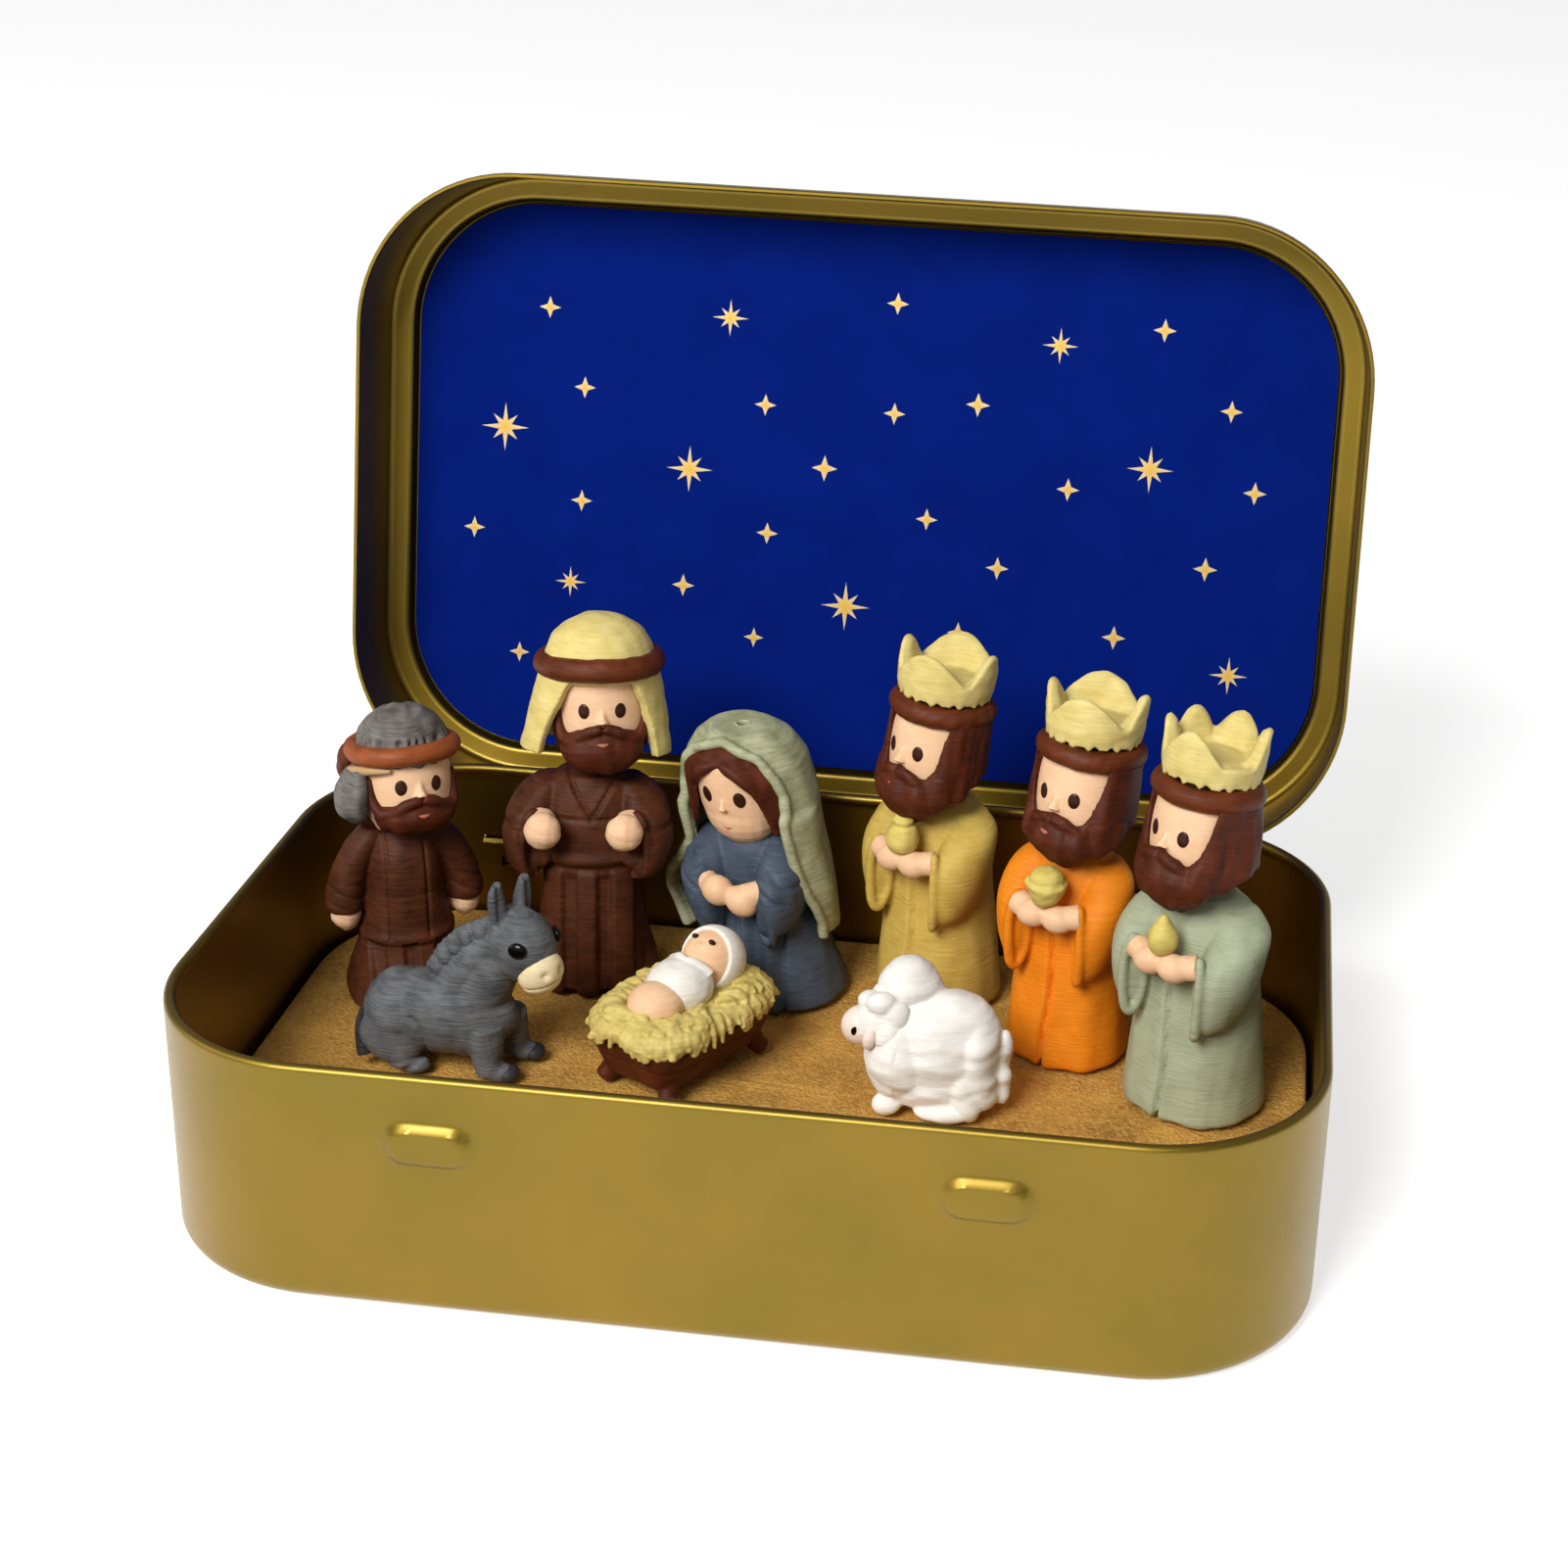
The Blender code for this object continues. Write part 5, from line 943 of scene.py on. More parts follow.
# Each point of a crown: its angle from the front, its share of the full height and its half width
FOUR_POINTS = ((19, 0.9, 50), (111, 1.0, 34), (211, 1.08, 60), (296, 1.0, 36))
FIVE_POINTS = ((13, 0.95, 40), (128, 1.12, 34), (196, 1.08, 38), (252, 1.05, 32), (303, 0.95, 26))
ochre = printed("printed_resin_ochre", "#d0b45c", "#bc9c44")
orange = printed("printed_resin_orange", "#ec8a1a", "#dc7a0e")
sage = printed("printed_resin_sage", "#abb295", "#999f80")
king("king_ochre", (11.82, 19.57, -30), 5.8, ochre, "ochre_print", BAG, FOUR_POINTS, 11,
     (0.0, 2.2, 20.7), 3.1)
king("king_orange", (24.66, 11.32, -22), 5.5, orange, "orange_print", POT, FOUR_POINTS, 23,
     (0.5, 1.0, 20.9), 2.6)
king("king_sage", (36.38, 4.61, -32), 6.2, sage, "sage_print", FLASK, FIVE_POINTS, 37,
     (-0.4, 2.1, 21.5), 3.2, 0.8)

# The father
# A tall figure in a crossed robe with a sash, two loose fists, and a cream headcloth that is
# held by the same rolled band and hangs open round the face.

FATHER_SHOULDER = 21.1
FATHER_HEM = 5.9
FATHER_HAND_HEIGHT = 17.41
FATHER_HAND_OUT = 3.66
FATHER_HAND_FORWARD = 6.0
FATHER_WRIST = 2.2
FATHER_CUFF_LOW = 12.1
FATHER_HEAD_BASE = 22.5
SASH_HEIGHT = 13.6
# His sleeves end higher than the kings'
FATHER_SLEEVE = ((0.57, 0.70, 0.58, 0.10, 0.18), (0.61, 0.75, 0.54, 0.24, 0.38),
                 (0.70, 0.78, 0.45, 0.34, 0.52), (0.80, 0.76, 0.34, 0.37, 0.55),
                 (0.89, 0.67, 0.14, 0.34, 0.44), (0.965, 0.49, 0.0, 0.24, 0.28))


def fingers(points):
    """Carving of a fist: shallow lines between the fingers."""
    lines = np.abs(np.sin(points[:, 2] * 2.6 + points[:, 0] * 0.6)) ** 0.5
    return 0.06 * (lines - 0.7) + 0.04 * waves(points, (0.9, 0.9, 0.9), 3)


def cap(height, reach, start):
    """A rounded cap that rises inside the headband."""
    rows = [(0.0, 0.0, start - 1.6, reach * 0.9, reach * 0.9)]
    for step in range(7):
        angle = math.radians(86 * step / 6)
        radius = reach * math.cos(angle)
        rows.append((0.0, 0.0, start + height * math.sin(angle), radius, radius))
    return turned(rows, 48, steps=3)


def short_beard(name, head, body, seed, middle, half, lift=0.0):
    """A round beard no wider than the face, from its middle height and half height, with a
    moustache and sideburns, and the dark hair between the face and the headcloth."""
    parts = [egg((0, -2.3, middle), (3.75, 2.75, half), sides=32)]
    for side in (-1, 1):
        lock = ((0.1, 4.55, 3.55), (1.3, 4.55, 3.15), (2.5, 4.45, 2.4), (3.35, 4.4, 2.3), (3.75, 4.3, 3.6),
                (3.85, 4.25, 5.4))
        points = [(side * x, -math.sqrt(reach ** 2 - x * x), z + lift) for x, reach, z in lock]
        parts.append(rope(points, (0.42, 0.55, 0.5, 0.55, 0.45, 0.3), 12, 4))
    fill = ((0.9, -0.6 + 1.6 * lift, 3.3, 3.0), (0.9, 1.0 + lift, 4.1, 3.7),
            (0.6, 4.0 + 0.5 * lift, 4.35, 3.9), (0.6, 8.2, 4.3, 3.9))
    parts.append(turned([(0, *row) for row in fill], 36))

    def strokes(points):
        turn = np.arctan2(points[:, 0], -points[:, 1] - 1.0)
        facets = np.abs(np.sin(turn * 5 + points[:, 2] * 0.3 + seed)) - 0.5
        return 0.12 * facets * (points[:, 2] < 2.2) + 0.08 * waves(points, (1.0, 1.0, 3.0), seed)

    carved = sculpt(name + "_beard_print", parts, head, 0.15, 2, strokes)
    finish(carved, brown, "brown_print", body, name + "_beard")
    line = [(-0.5, -4.92, 2.2 + lift), (0.0, -5.0, 2.1 + lift), (0.5, -4.92, 2.2 + lift)]
    mouth = rope(line, (0.09, 0.2, 0.09), 10, 4)
    finish(sculpt(name + "_mouth", [mouth], head, 0.07, 1), lip_rose, "skin", body)


place = stand_at(-20.44, 16.91, 8)
head = head_at(place, FATHER_HEAD_BASE, -8.0, aside=1.1, turn=8.0)
parts = [turned(robe_rows(ROBE_SECTION, FATHER_SHOULDER, FATHER_HEM), 56, 2.2)]
for side in (-1, 1):
    parts.append(turned(sleeve_rows(side, FATHER_SHOULDER, FATHER_HEM, 1.22, 1.0, FATHER_SLEEVE), 32))
    parts.append(cuff(side, 4.75, -4.6, FATHER_CUFF_LOW, FATHER_HAND_HEIGHT + 1.1, 0.95, 1.0, CUFF_RADIUS))


def father_folds(points):
    """Crossed lapels above the sash, the sash's full lower edge and square pleats below it."""
    x = points[:, 0]
    z = points[:, 2] - SASH_HEIGHT
    front = np.clip(-points[:, 1] / 2.5, 0, 1) * (np.abs(x) < 4.2)
    lapel = np.abs(x - 0.5) - (z - 3.9) * 0.62
    chest = (z > 3.9) * front
    groove = -0.40 * np.exp(-(lapel / 0.20) ** 2) * chest - 0.22 * (lapel < 0) * chest
    sash = 0.28 * np.exp(-(z / 0.55) ** 2) * front - 0.35 * np.exp(-((z + 0.9) / 0.35) ** 2) * front
    top = -0.25 * np.exp(-((z - 3.9) / 0.18) ** 2) * front
    pleats = -0.62 * np.clip(-np.cos(x * 1.9) * 1.8, 0, 1) * np.clip((-0.8 - z) / 1.2, 0, 1)
    elbow = -0.30 * np.exp(-((z - 5.2 + np.abs(x) * 0.25) / 0.28) ** 2) * (np.abs(x) > 5.2)
    inside = ((np.abs(x) - 4.5) / 0.50) ** 2 + ((z - 1.1) / 1.4) ** 2
    hollow = -1.3 * np.exp(-inside) * (points[:, 1] < -4.2)
    return groove + sash + top + pleats + elbow + hollow + 0.06 * waves(points, (1.2, 1.2, 2.4), 51)


cloth_brown = printed("printed_resin_cloth_brown", "#5c2f18", "#38190a", 0.58, 0.9)
father_robe = sculpt("father_robe_print", parts, place, 0.2, 2, father_folds)
finish(father_robe, cloth_brown, "brown_print", "father", "father_robe")
# Closed hands, a little faceted, each with a short wrist that runs back into its sleeve
for side, node in ((-1, "father_hand_right"), (1, "father_hand_left")):
    centre = (side * FATHER_HAND_OUT, -FATHER_HAND_FORWARD, FATHER_HAND_HEIGHT)
    wrist = (side * (FATHER_HAND_OUT + 0.35), FATHER_WRIST - FATHER_HAND_FORWARD, FATHER_HAND_HEIGHT + 0.1)
    parts = [egg(centre, (1.70, 1.60, 1.70), (0, 0, side * 12)), rope([centre, wrist], (1.3, 1.3), 16, 3)]
    fist = sculpt(node + "_print", parts, place, 0.13, 2, fingers)
    finish(fist, skin, "skin", "father", node)
finish(sculpt("father_face", skull(), head, 0.14, 3), skin, "skin", "father", "father_head")
eyes("father", head, "father")
short_beard("father", head, "father", 61, middle=1.35, half=2.6)
headband("father", head, 4.85, 1.1, 0.4, "father", 63)


def headcloth(drop, top_reach, hem_reach, hem_depth, open_top, open_low, thickness, lopsided=0.0):
    """The part of a headcloth that hangs from the band, open in front and flaring to its hem."""
    grid = []
    for level in np.linspace(0, 1, 20):
        z = HEAD_HEIGHT + 0.2 - (drop + 0.2) * level
        wide = top_reach + (hem_reach - top_reach) * level ** 0.8
        deep = top_reach + (hem_depth - top_reach) * level
        start = open_top + (open_low - open_top) * math.sin(level * math.pi / 2)
        row = []
        for angle in np.linspace(start, 360 - start, 56):
            turn = math.radians(angle)
            sway = 1 + (0.025 * math.sin(turn * 5 + level) - lopsided * math.sin(turn)) * level
            fall = lopsided * 6 * level * math.sin(turn)
            row.append((wide * sway * math.sin(turn), 0.3 - deep * sway * math.cos(turn), z - fall))
        grid.append(row)
    return cloth(grid, -thickness)


cream_cloth = [headcloth(7.8, 5.2, 6.8, 5.2, 28, 52, 0.95, 0.09), cap(4.2, 4.95, HEAD_HEIGHT + 0.6)]
weave = sculpt("father_headcloth", cream_cloth, head, 0.17, 3, uneven(0.07, (1.1, 1.1, 1.1), 65))
finish(weave, cream, "cream_print", "father", "father_headscarf")

# The shepherd
# A short figure in a plain tunic with straight arms, a grey headcloth bunched at one side and a
# lighter, redder headband with its knot behind the ear.

SHEPHERD_SHOULDER = 17.9
SHEPHERD_HEM = 6.3
SHEPHERD_HEAD_BASE = 15.6
SHEPHERD_HAND_HEIGHT = 8.66
SHEPHERD_HAND_OUT = 5.39
# Share of the shoulder height, share of the hem's radius, depth against width
TUNIC_SECTION = ((0.0, 0.87, 0.93), (0.015, 0.95, 0.93), (0.05, 0.98, 0.93), (0.20, 0.84, 0.94),
                 (0.38, 0.67, 0.98), (0.56, 0.57, 1.06), (0.78, 0.52, 1.12), (0.91, 0.42, 1.0),
                 (1.0, 0.30, 0.95))
# Straight sleeve: share of the shoulder height, of the hem's radius outwards and of its own radius
STRAIGHT_SLEEVE = ((0.505, 0.85, 0.84), (0.530, 0.86, 0.98), (0.60, 0.845, 1.0), (0.73, 0.75, 0.97),
                   (0.86, 0.57, 0.90), (0.955, 0.40, 0.66))
SLEEVE_RADIUS = 1.72
place = stand_at(-36.39, 10.90, 28)
head = head_at(place, SHEPHERD_HEAD_BASE, -8.0, roll=2.0, forward=1.0, aside=0.35, turn=10.0)
rust = printed("printed_resin_rust", "#9c5228", "#7d3d1c", 0.5, 0.5)
grey_cloth = printed("printed_resin_grey_cloth", "#7e7873", "#4e4843", 0.62, 1.2)
parts = [turned(robe_rows(TUNIC_SECTION, SHEPHERD_SHOULDER, SHEPHERD_HEM), 48, 2.2)]
for side in (-1, 1):
    rows = []
    for high, out, wide in STRAIGHT_SLEEVE:
        radius = SLEEVE_RADIUS * wide
        rows.append((side * out * SHEPHERD_HEM, -0.1, high * SHEPHERD_SHOULDER, radius, radius * 1.1))
    parts.append(turned(rows, 28))


def tunic(points):
    """A tunic over a longer skirt: its hem edge low down, pleats under it and a few seams above."""
    x = points[:, 0]
    z = points[:, 2]
    body = np.abs(x) < 3.2
    edge = 0.14 * np.exp(-((z - 7.0) / 0.4) ** 2) - 0.26 * (z < 6.5)
    pleats = -0.42 * np.clip(np.cos(x * 2.1 + 0.6) * 1.8, 0, 1) * (z < 6.6)
    seams = -0.24 * np.exp(-((np.abs(x + 0.2) - 1.75) / 0.14) ** 2) * body * (z > 7.0) * (points[:, 1] < 0)
    belt = -0.10 * np.exp(-((z - 11.2) / 0.12) ** 2) * body
    wrinkle = -0.14 * np.exp(-(np.sin(z * 2.2 + x) / 0.35) ** 2) * (np.abs(x) > 3.9) * (z < 12.3) * (z > 9.8)
    return edge + pleats + seams + belt + wrinkle + 0.06 * waves(points, (1.1, 1.1, 2.0), 71)


shepherd_robe = sculpt("shepherd_robe_print", parts, place, 0.18, 2, tunic)
finish(shepherd_robe, cloth_brown, "brown_print", "shepherd", "shepherd_robe")
for side, node in ((-1, "shepherd_hand_right"), (1, "shepherd_hand_left")):
    centre = (side * SHEPHERD_HAND_OUT, -0.2, SHEPHERD_HAND_HEIGHT)
    parts = [egg(centre, (1.38, 1.42, 1.55)), egg((side * 5.3, -0.2, 7.7), (0.85, 0.95, 0.75))]
    hand_print = sculpt(node + "_print", parts, place, 0.13, 2, fingers)
    finish(hand_print, skin, "skin", "shepherd", node)
shepherd_face = sculpt("shepherd_face", skull(lift=1.2, chin=0.12), head, 0.14, 3)
finish(shepherd_face, skin, "skin", "shepherd", "shepherd_head")
eyes("shepherd", head, "shepherd", height=6.0)
short_beard("shepherd", head, "shepherd", 73, middle=3.15, half=1.9, lift=1.35)
headband("shepherd", head, 4.3, 0.90, 0.45, "shepherd", 75, rust)
knot = [egg((-4.7, 1.4, HEAD_HEIGHT - 0.2), (0.8, 0.9, 1.3), (0, 15, 0)),
        egg((-4.9, 1.9, HEAD_HEIGHT - 1.3), (0.6, 0.7, 1.1))]
finish(sculpt("shepherd_knot", knot, head, 0.14, 2), band_brown, "band_print", "shepherd")
lining = rope([(-2.4, -3.75, 7.65), (-3.6, -2.85, 7.6), (-4.5, -1.5, 7.5), (-4.9, 0.2, 7.3)],
              (0.18, 0.34, 0.42, 0.35), 12, 4)
tan_print = printed("printed_resin_tan", "#c2a074", "#a98659", 0.6, 0.6)
finish(sculpt("shepherd_lining", [lining], head, 0.12, 2), tan_print, "cream_print", "shepherd")
parts = [cap(3.7, 4.15, HEAD_HEIGHT + 0.55), headcloth(4.6, 4.35, 4.8, 4.8, 84, 98, 0.8)]
parts.append(turned([(-4.7, -0.6, 2.6, 0.5, 0.7), (-5.05, -0.6, 3.4, 1.2, 1.9), (-5.1, -0.5, 4.8, 1.4, 2.4),
                     (-4.9, -0.5, 6.2, 1.2, 2.2), (-4.4, -0.5, 7.4, 0.8, 1.6)], 28))


def brushed_cap(points):
    """Strokes of the modelling tool, and a row of ragged notches where the cap meets the band."""
    turn = np.arctan2(points[:, 0], -points[:, 1])
    ragged = np.clip(np.sin(turn * 23 + 2.5 * np.sin(turn * 5)), 0, 1)
    notches = -0.55 * ragged * np.exp(-((points[:, 2] - HEAD_HEIGHT - 1.6) / 0.28) ** 2)
    return notches + 0.15 * waves(points, (0.7, 0.7, 2.4), 77)


swirls = sculpt("shepherd_headcloth", parts, head, 0.15, 1, brushed_cap)
finish(swirls, grey_cloth, "grey_print", "shepherd", "shepherd_headscarf")

# The mother
# She leans a little to one side: flared slate robe with wide sleeves, clasped hands, parted hair
# and a thick pale veil, rolled along its front edge, that swings out round one elbow.

MOTHER_SHOULDER = 16.6
MOTHER_HEM = 6.6
MOTHER_HEAD_BASE = 15.9
MOTHER_HAND_HEIGHT = 11.75
MOTHER_SECTION = ((0.0, 0.90, 0.92), (0.02, 0.97, 0.92), (0.06, 1.0, 0.92), (0.35, 0.82, 0.90),
                  (0.62, 0.66, 0.90), (0.84, 0.62, 0.86), (0.95, 0.50, 0.86), (1.0, 0.34, 0.95))
# How far she leans to her right and to the front, as shares of the height
LEAN_ASIDE = -0.14
LEAN_FORWARD = -0.05
lean = np.eye(4)
lean[:2, 2] = LEAN_ASIDE, LEAN_FORWARD
place = stand_at(-3.06, 18.03, -16) @ lean
head = head_at(place, MOTHER_HEAD_BASE, 4.0, aside=-0.2)
slate = printed("printed_resin_slate", "#4f5a68", "#3a4350", 0.52, 0.9)
veil_green = printed("printed_resin_veil", "#b9ba96", "#8a8e68", 0.6, 0.8)
parts = [turned(robe_rows(MOTHER_SECTION, MOTHER_SHOULDER, MOTHER_HEM), 56, 2.2)]
for side in (-1, 1):
    parts.append(turned(sleeve_rows(side, MOTHER_SHOULDER, MOTHER_HEM, 0.80, 0.86), 32))
    parts.append(cuff(side, 3.0, -5.3, 7.3, 13.4, 0.9, 0.95, CUFF_RADIUS))


def mother_folds(points):
    """Deep upright folds in the skirt and crumpled elbows."""
    x = points[:, 0]
    z = points[:, 2]
    front = np.clip(-points[:, 1] / 3.0, 0, 1)
    skirt = np.clip((11.0 - z) / 2.5, 0, 1) * front
    folds = 0.34 * np.cos(x * 2.6 + 0.5) * skirt * (np.abs(x) < 3.6)
    groove = -0.50 * np.exp(-((x + 0.7) / 0.28) ** 2) * skirt
    elbow = -0.20 * np.exp(-(np.sin(z * 1.9 + x * 1.2) / 0.4) ** 2)
    elbow *= (np.abs(x) > 3.2) * (z > 11.5) * (z < 14.5)
    return folds + groove + elbow + 0.06 * waves(points, (1.1, 1.1, 1.8), 81)


mother_robe = sculpt("mother_robe_print", parts, place, 0.19, 2, mother_folds)
finish(mother_robe, slate, "slate_print", "mother", "mother_robe")
parts = []
for side in (-1, 1):
    centre = (side * 1.15, -6.1, MOTHER_HAND_HEIGHT - side * 0.3)
    parts.append(egg(centre, (1.55, 1.35, 1.45), (0, side * 18, 0)))
    palm = (side * 1.5, -6.0, MOTHER_HAND_HEIGHT + 0.25)
    wrist = (side * 2.9, -5.0, MOTHER_HAND_HEIGHT + 0.55)
    parts.append(rope([palm, wrist], (1.1, 1.1), 14, 3))
finish(sculpt("mother_hands_print", parts, place, 0.13, 2), skin, "skin", "mother", "mother_hands")
parts = skull(0.42)
parts.append(egg((0, -1.0, 2.6), (3.5, 3.2, 3.3)))
finish(sculpt("mother_face", parts, head, 0.14, 3), skin, "skin", "mother", "mother_head")
eyes("mother", head, "mother", size=(0.60, 0.22, 0.80))
smile = rope([(-0.42, -4.02, 2.12), (0.0, -4.12, 2.0), (0.42, -4.02, 2.12)], (0.06, 0.12, 0.06), 8, 4)
finish(sculpt("mother_mouth", [smile], head, 0.06, 1), lip_rose, "skin", "mother")

HAIR_TOP = 8.95
HAIR_REACH = 4.5
hair_grid = []
for level in np.linspace(0, 1, 22):
    row = []
    for angle in np.linspace(-180, 180, 100):
        off = abs(angle)
        edge = 7.9 - 0.9 * (off / 30) ** 1.3 if off < 34 else 6.85 - (off - 34) * 0.30
        low = max(edge, 1.4)
        z = low + (HAIR_TOP - low) * level
        round_off = math.sqrt(max(1 - (max(z - 5.9, 0) / 3.1) ** 2, 0.0))
        turn = math.radians(angle)
        reach = HAIR_REACH * round_off + 0.08 * math.sin(turn * 14 + z)
        row.append((reach * math.sin(turn), 0.2 - reach * math.cos(turn), z))
    hair_grid.append(row)
hair = [cloth(hair_grid, -0.75), egg((0, 0.5, 6.4), (4.2, 4.0, 2.6))]
for side in (-1, 1):
    lock = ((0.1, -3.5, 8.1), (1.9, -3.85, 7.3), (3.5, -2.9, 5.4), (4.2, -1.5, 3.2))
    hair.append(rope([(side * x, y, z) for x, y, z in lock], (0.45, 0.6, 0.55, 0.4), 12, 4))
parting = sculpt("mother_hair_print", hair, head, 0.15, 2, uneven(0.10, (0.7, 0.7, 3.0), 83, 14))
finish(parting, brown, "brown_print", "mother", "mother_hair")

# Along the front edge: height, half width on her right, on her left, and how far forward it lies
VEIL_FRONT = ((4.0, 8.3, 5.9, 0.6), (6.5, 8.8, 6.2, 0.8), (9.0, 9.0, 6.2, 1.6), (11.0, 8.2, 5.9, 2.3),
              (13.0, 6.5, 5.6, 2.7), (14.8, 5.2, 5.3, 2.9), (17.5, 5.2, 5.1, 3.2), (21.0, 5.1, 5.0, 3.3),
              (23.0, 4.3, 4.3, 3.4), (24.6, 2.9, 3.0, 3.3), (25.5, 0.1, 0.1, 3.2))
# Round the back: height, half width, depth
VEIL_BACK = ((3.5, 6.4, 5.3), (9.5, 6.7, 5.7), (15.0, 6.2, 5.9), (20.0, 6.1, 6.0), (23.3, 5.5, 5.6),
             (25.0, 4.4, 4.6), (26.0, 2.8, 2.9), (26.25, 0.6, 0.6))
VEIL_HEM = 4.5
VEIL_FRONT_TOP = 25.5
VEIL_NECK = 19
FRONT_LEVELS = 38


def veil_row(z):
    """The veil's line at a height, from one front edge round the back to the other."""
    front = np.array(VEIL_FRONT)
    right, left, near = (np.interp(z, front[:, 0], front[:, column]) for column in (1, 2, 3))
    back = np.array(VEIL_BACK)
    wide, deep = (np.interp(z, back[:, 0], back[:, column]) for column in (1, 2))
    row = []
    for side, half in ((-1, right), (1, left)):
        if z < VEIL_NECK:
            start = math.acos(min(max((near + 0.9) / deep, -0.9), 0.95))
        else:
            start = math.asin(min(half / max(wide, 0.1), 0.98))
        excess = half / (wide * math.sin(start)) - 1 if z < VEIL_NECK else 0.0
        stretch = []
        for step in range(37):
            turn = start + (math.pi - start) * step / 36
            reach = 1 + excess * max(math.cos((turn - start) * 1.7), 0)
            rise = 2.0 * max(1 - (z - VEIL_HEM) / 9, 0) * max(side * math.sin(turn), 0)
            stretch.append((side * wide * reach * math.sin(turn), 0.9 - deep * math.cos(turn), z + rise))
        row += stretch if side < 0 else stretch[::-1][1:]
    return row


levels = list(np.linspace(VEIL_HEM, VEIL_FRONT_TOP, FRONT_LEVELS)) + [25.7, 25.9, 26.1, 26.25]
grid = [veil_row(z) for z in levels]
open_rows = grid[:FRONT_LEVELS]
front_edge = [row[0] for row in open_rows] + [row[-1] for row in open_rows][::-1][1:]
veil_parts = [cloth(grid, -0.85), rope(front_edge, [0.52] * len(front_edge), 12, 1)]


def veil_surface(points):
    """Soft lumps, and the crown of the veil pressed a little flat."""
    return 0.10 * waves(points, (1.8, 1.8, 3.2), 87) - np.clip(points[:, 2] - 25.95, 0, 1)


mantle = sculpt("mother_veil_print", veil_parts, place, 0.19, 3, veil_surface)
finish(mantle, veil_green, "veil_print", "mother", "mother_veil")

# The donkey
# One print lying with its legs folded under, brushed grey, with a knotted mane, dark hooves and a
# pale muzzle set on the front of the head.

place = stand_at(-28.92, -1.54, 0)
DONKEY_BACK = 9.1
POLL = Vector((6.94, 0.0, 12.5))
HEAD_TURN = -33.0
grey = printed("printed_resin_grey", "#6e6f70", "#404244", 0.55, 1.6)
dark_grey = printed("printed_resin_dark_grey", "#3c3a3c", "#262426", 0.5, 1.0)


def from_poll(ahead, aside, up):
    """A point ahead of, beside and above the middle of the head, which is turned to the front."""
    return tuple(POLL + Matrix.Rotation(math.radians(HEAD_TURN), 3, "Z") @ Vector((ahead, aside, up)))


HALF_BODY = 6.8
parts = [egg((-0.3, 0, DONKEY_BACK * 0.58), (6.9, 3.5, DONKEY_BACK * 0.42), sides=36),
         egg((-4.0, 0, 4.95), (3.2, 3.5, 3.95), sides=32), egg((2.1, 0, 5.2), (3.4, 3.3, 3.9), sides=32)]
for share, side in ((-0.50, -1), (-0.72, 1), (0.62, -1), (0.80, 1)):
    x = share * HALF_BODY
    parts.append(rope([(x * 0.92, side * 1.4, 4.8), (x, side * 1.95, 2.1), (x + 0.3, side * 2.0, 0.75)],
                      (1.9, 1.4, 1.25), 16, 4))
    parts.append(egg((x + 0.9, side * 2.0, 0.85), (1.6, 1.1, 0.85)))
for side in (-1, 1):
    parts.append(egg((-4.08, side * 1.73, 3.64), (3.1, 1.75, 2.95), sides=28))
throat = [(1.7, 0, 6.0), (3.1, 0, 7.3), (4.6, 0, 10.0), (6.1, 0, 12.3)]
nape = [(0.9, 0, 7.0), (2.0, 0, 9.4), (3.6, 0, 11.3), (5.6, 0, 12.7)]
parts.append(rope(throat, (2.7, 2.6, 2.3, 2.15), 28, 5))
parts.append(rope(nape, (2.5, 2.1, 1.9, 1.9), 24, 5))
parts.append(egg(tuple(POLL), (3.65, 2.85, 3.22), (0, 28, HEAD_TURN), sides=32))
for side in (-1, 1):
    rise = 0.88 if side > 0 else 1.0
    shift = 0.0 if side > 0 else 0.5
    line = ((-1.3, 1.4, 1.2), (-1.5, 1.6, 3.0 * rise), (-1.5, 1.75, 4.6 * rise), (-1.3, 1.8, 6.1 * rise))
    ear = [from_poll(ahead + shift, side * aside, up) for ahead, aside, up in line]
    parts.append(rope(ear, (0.8, 1.0, 0.92, 0.6), 16, 5, flat=0.8))


def coat(points):
    """The donkey's surface: shallow folds at the legs, hollow ears and a rounded brow."""
    turn = math.radians(-HEAD_TURN)
    x = (points[:, 0] - POLL.x) * math.cos(turn) - points[:, 1] * math.sin(turn)
    y = (points[:, 0] - POLL.x) * math.sin(turn) + points[:, 1] * math.cos(turn)
    ears = points[:, 2] > 14.6
    hollow = -0.55 * np.exp(-(((np.abs(y) - 1.9) / 0.5) ** 2 + ((x + 0.5) / 0.7) ** 2)) * ears
    haunch = -0.22 * np.exp(-((np.hypot(points[:, 0] + 4.1, points[:, 2] - 3.6) - 3.15) / 0.3) ** 2)
    haunch *= (points[:, 0] > -4.5) * (points[:, 2] < 6.2)
    return hollow + haunch + 0.05 * waves(points, (2.4, 1.0, 0.9), 91)


finish(sculpt("donkey_print", parts, place, 0.17, 3, coat), grey, "grey_print", "donkey", "donkey_body")


def muzzle(points):
    """Nostrils and a mouth line round the muzzle."""
    dip = np.zeros(len(points))
    for side in (-1, 1):
        away = (points - from_poll(4.0, side * 0.85, -1.4)) / (0.4, 0.35, 0.35)
        dip -= 0.35 * np.exp(-(away ** 2).sum(axis=1))
    return dip - 0.14 * np.exp(-((points[:, 2] - 9.8 - (points[:, 0] - 9.0) * 0.2) / 0.14) ** 2)


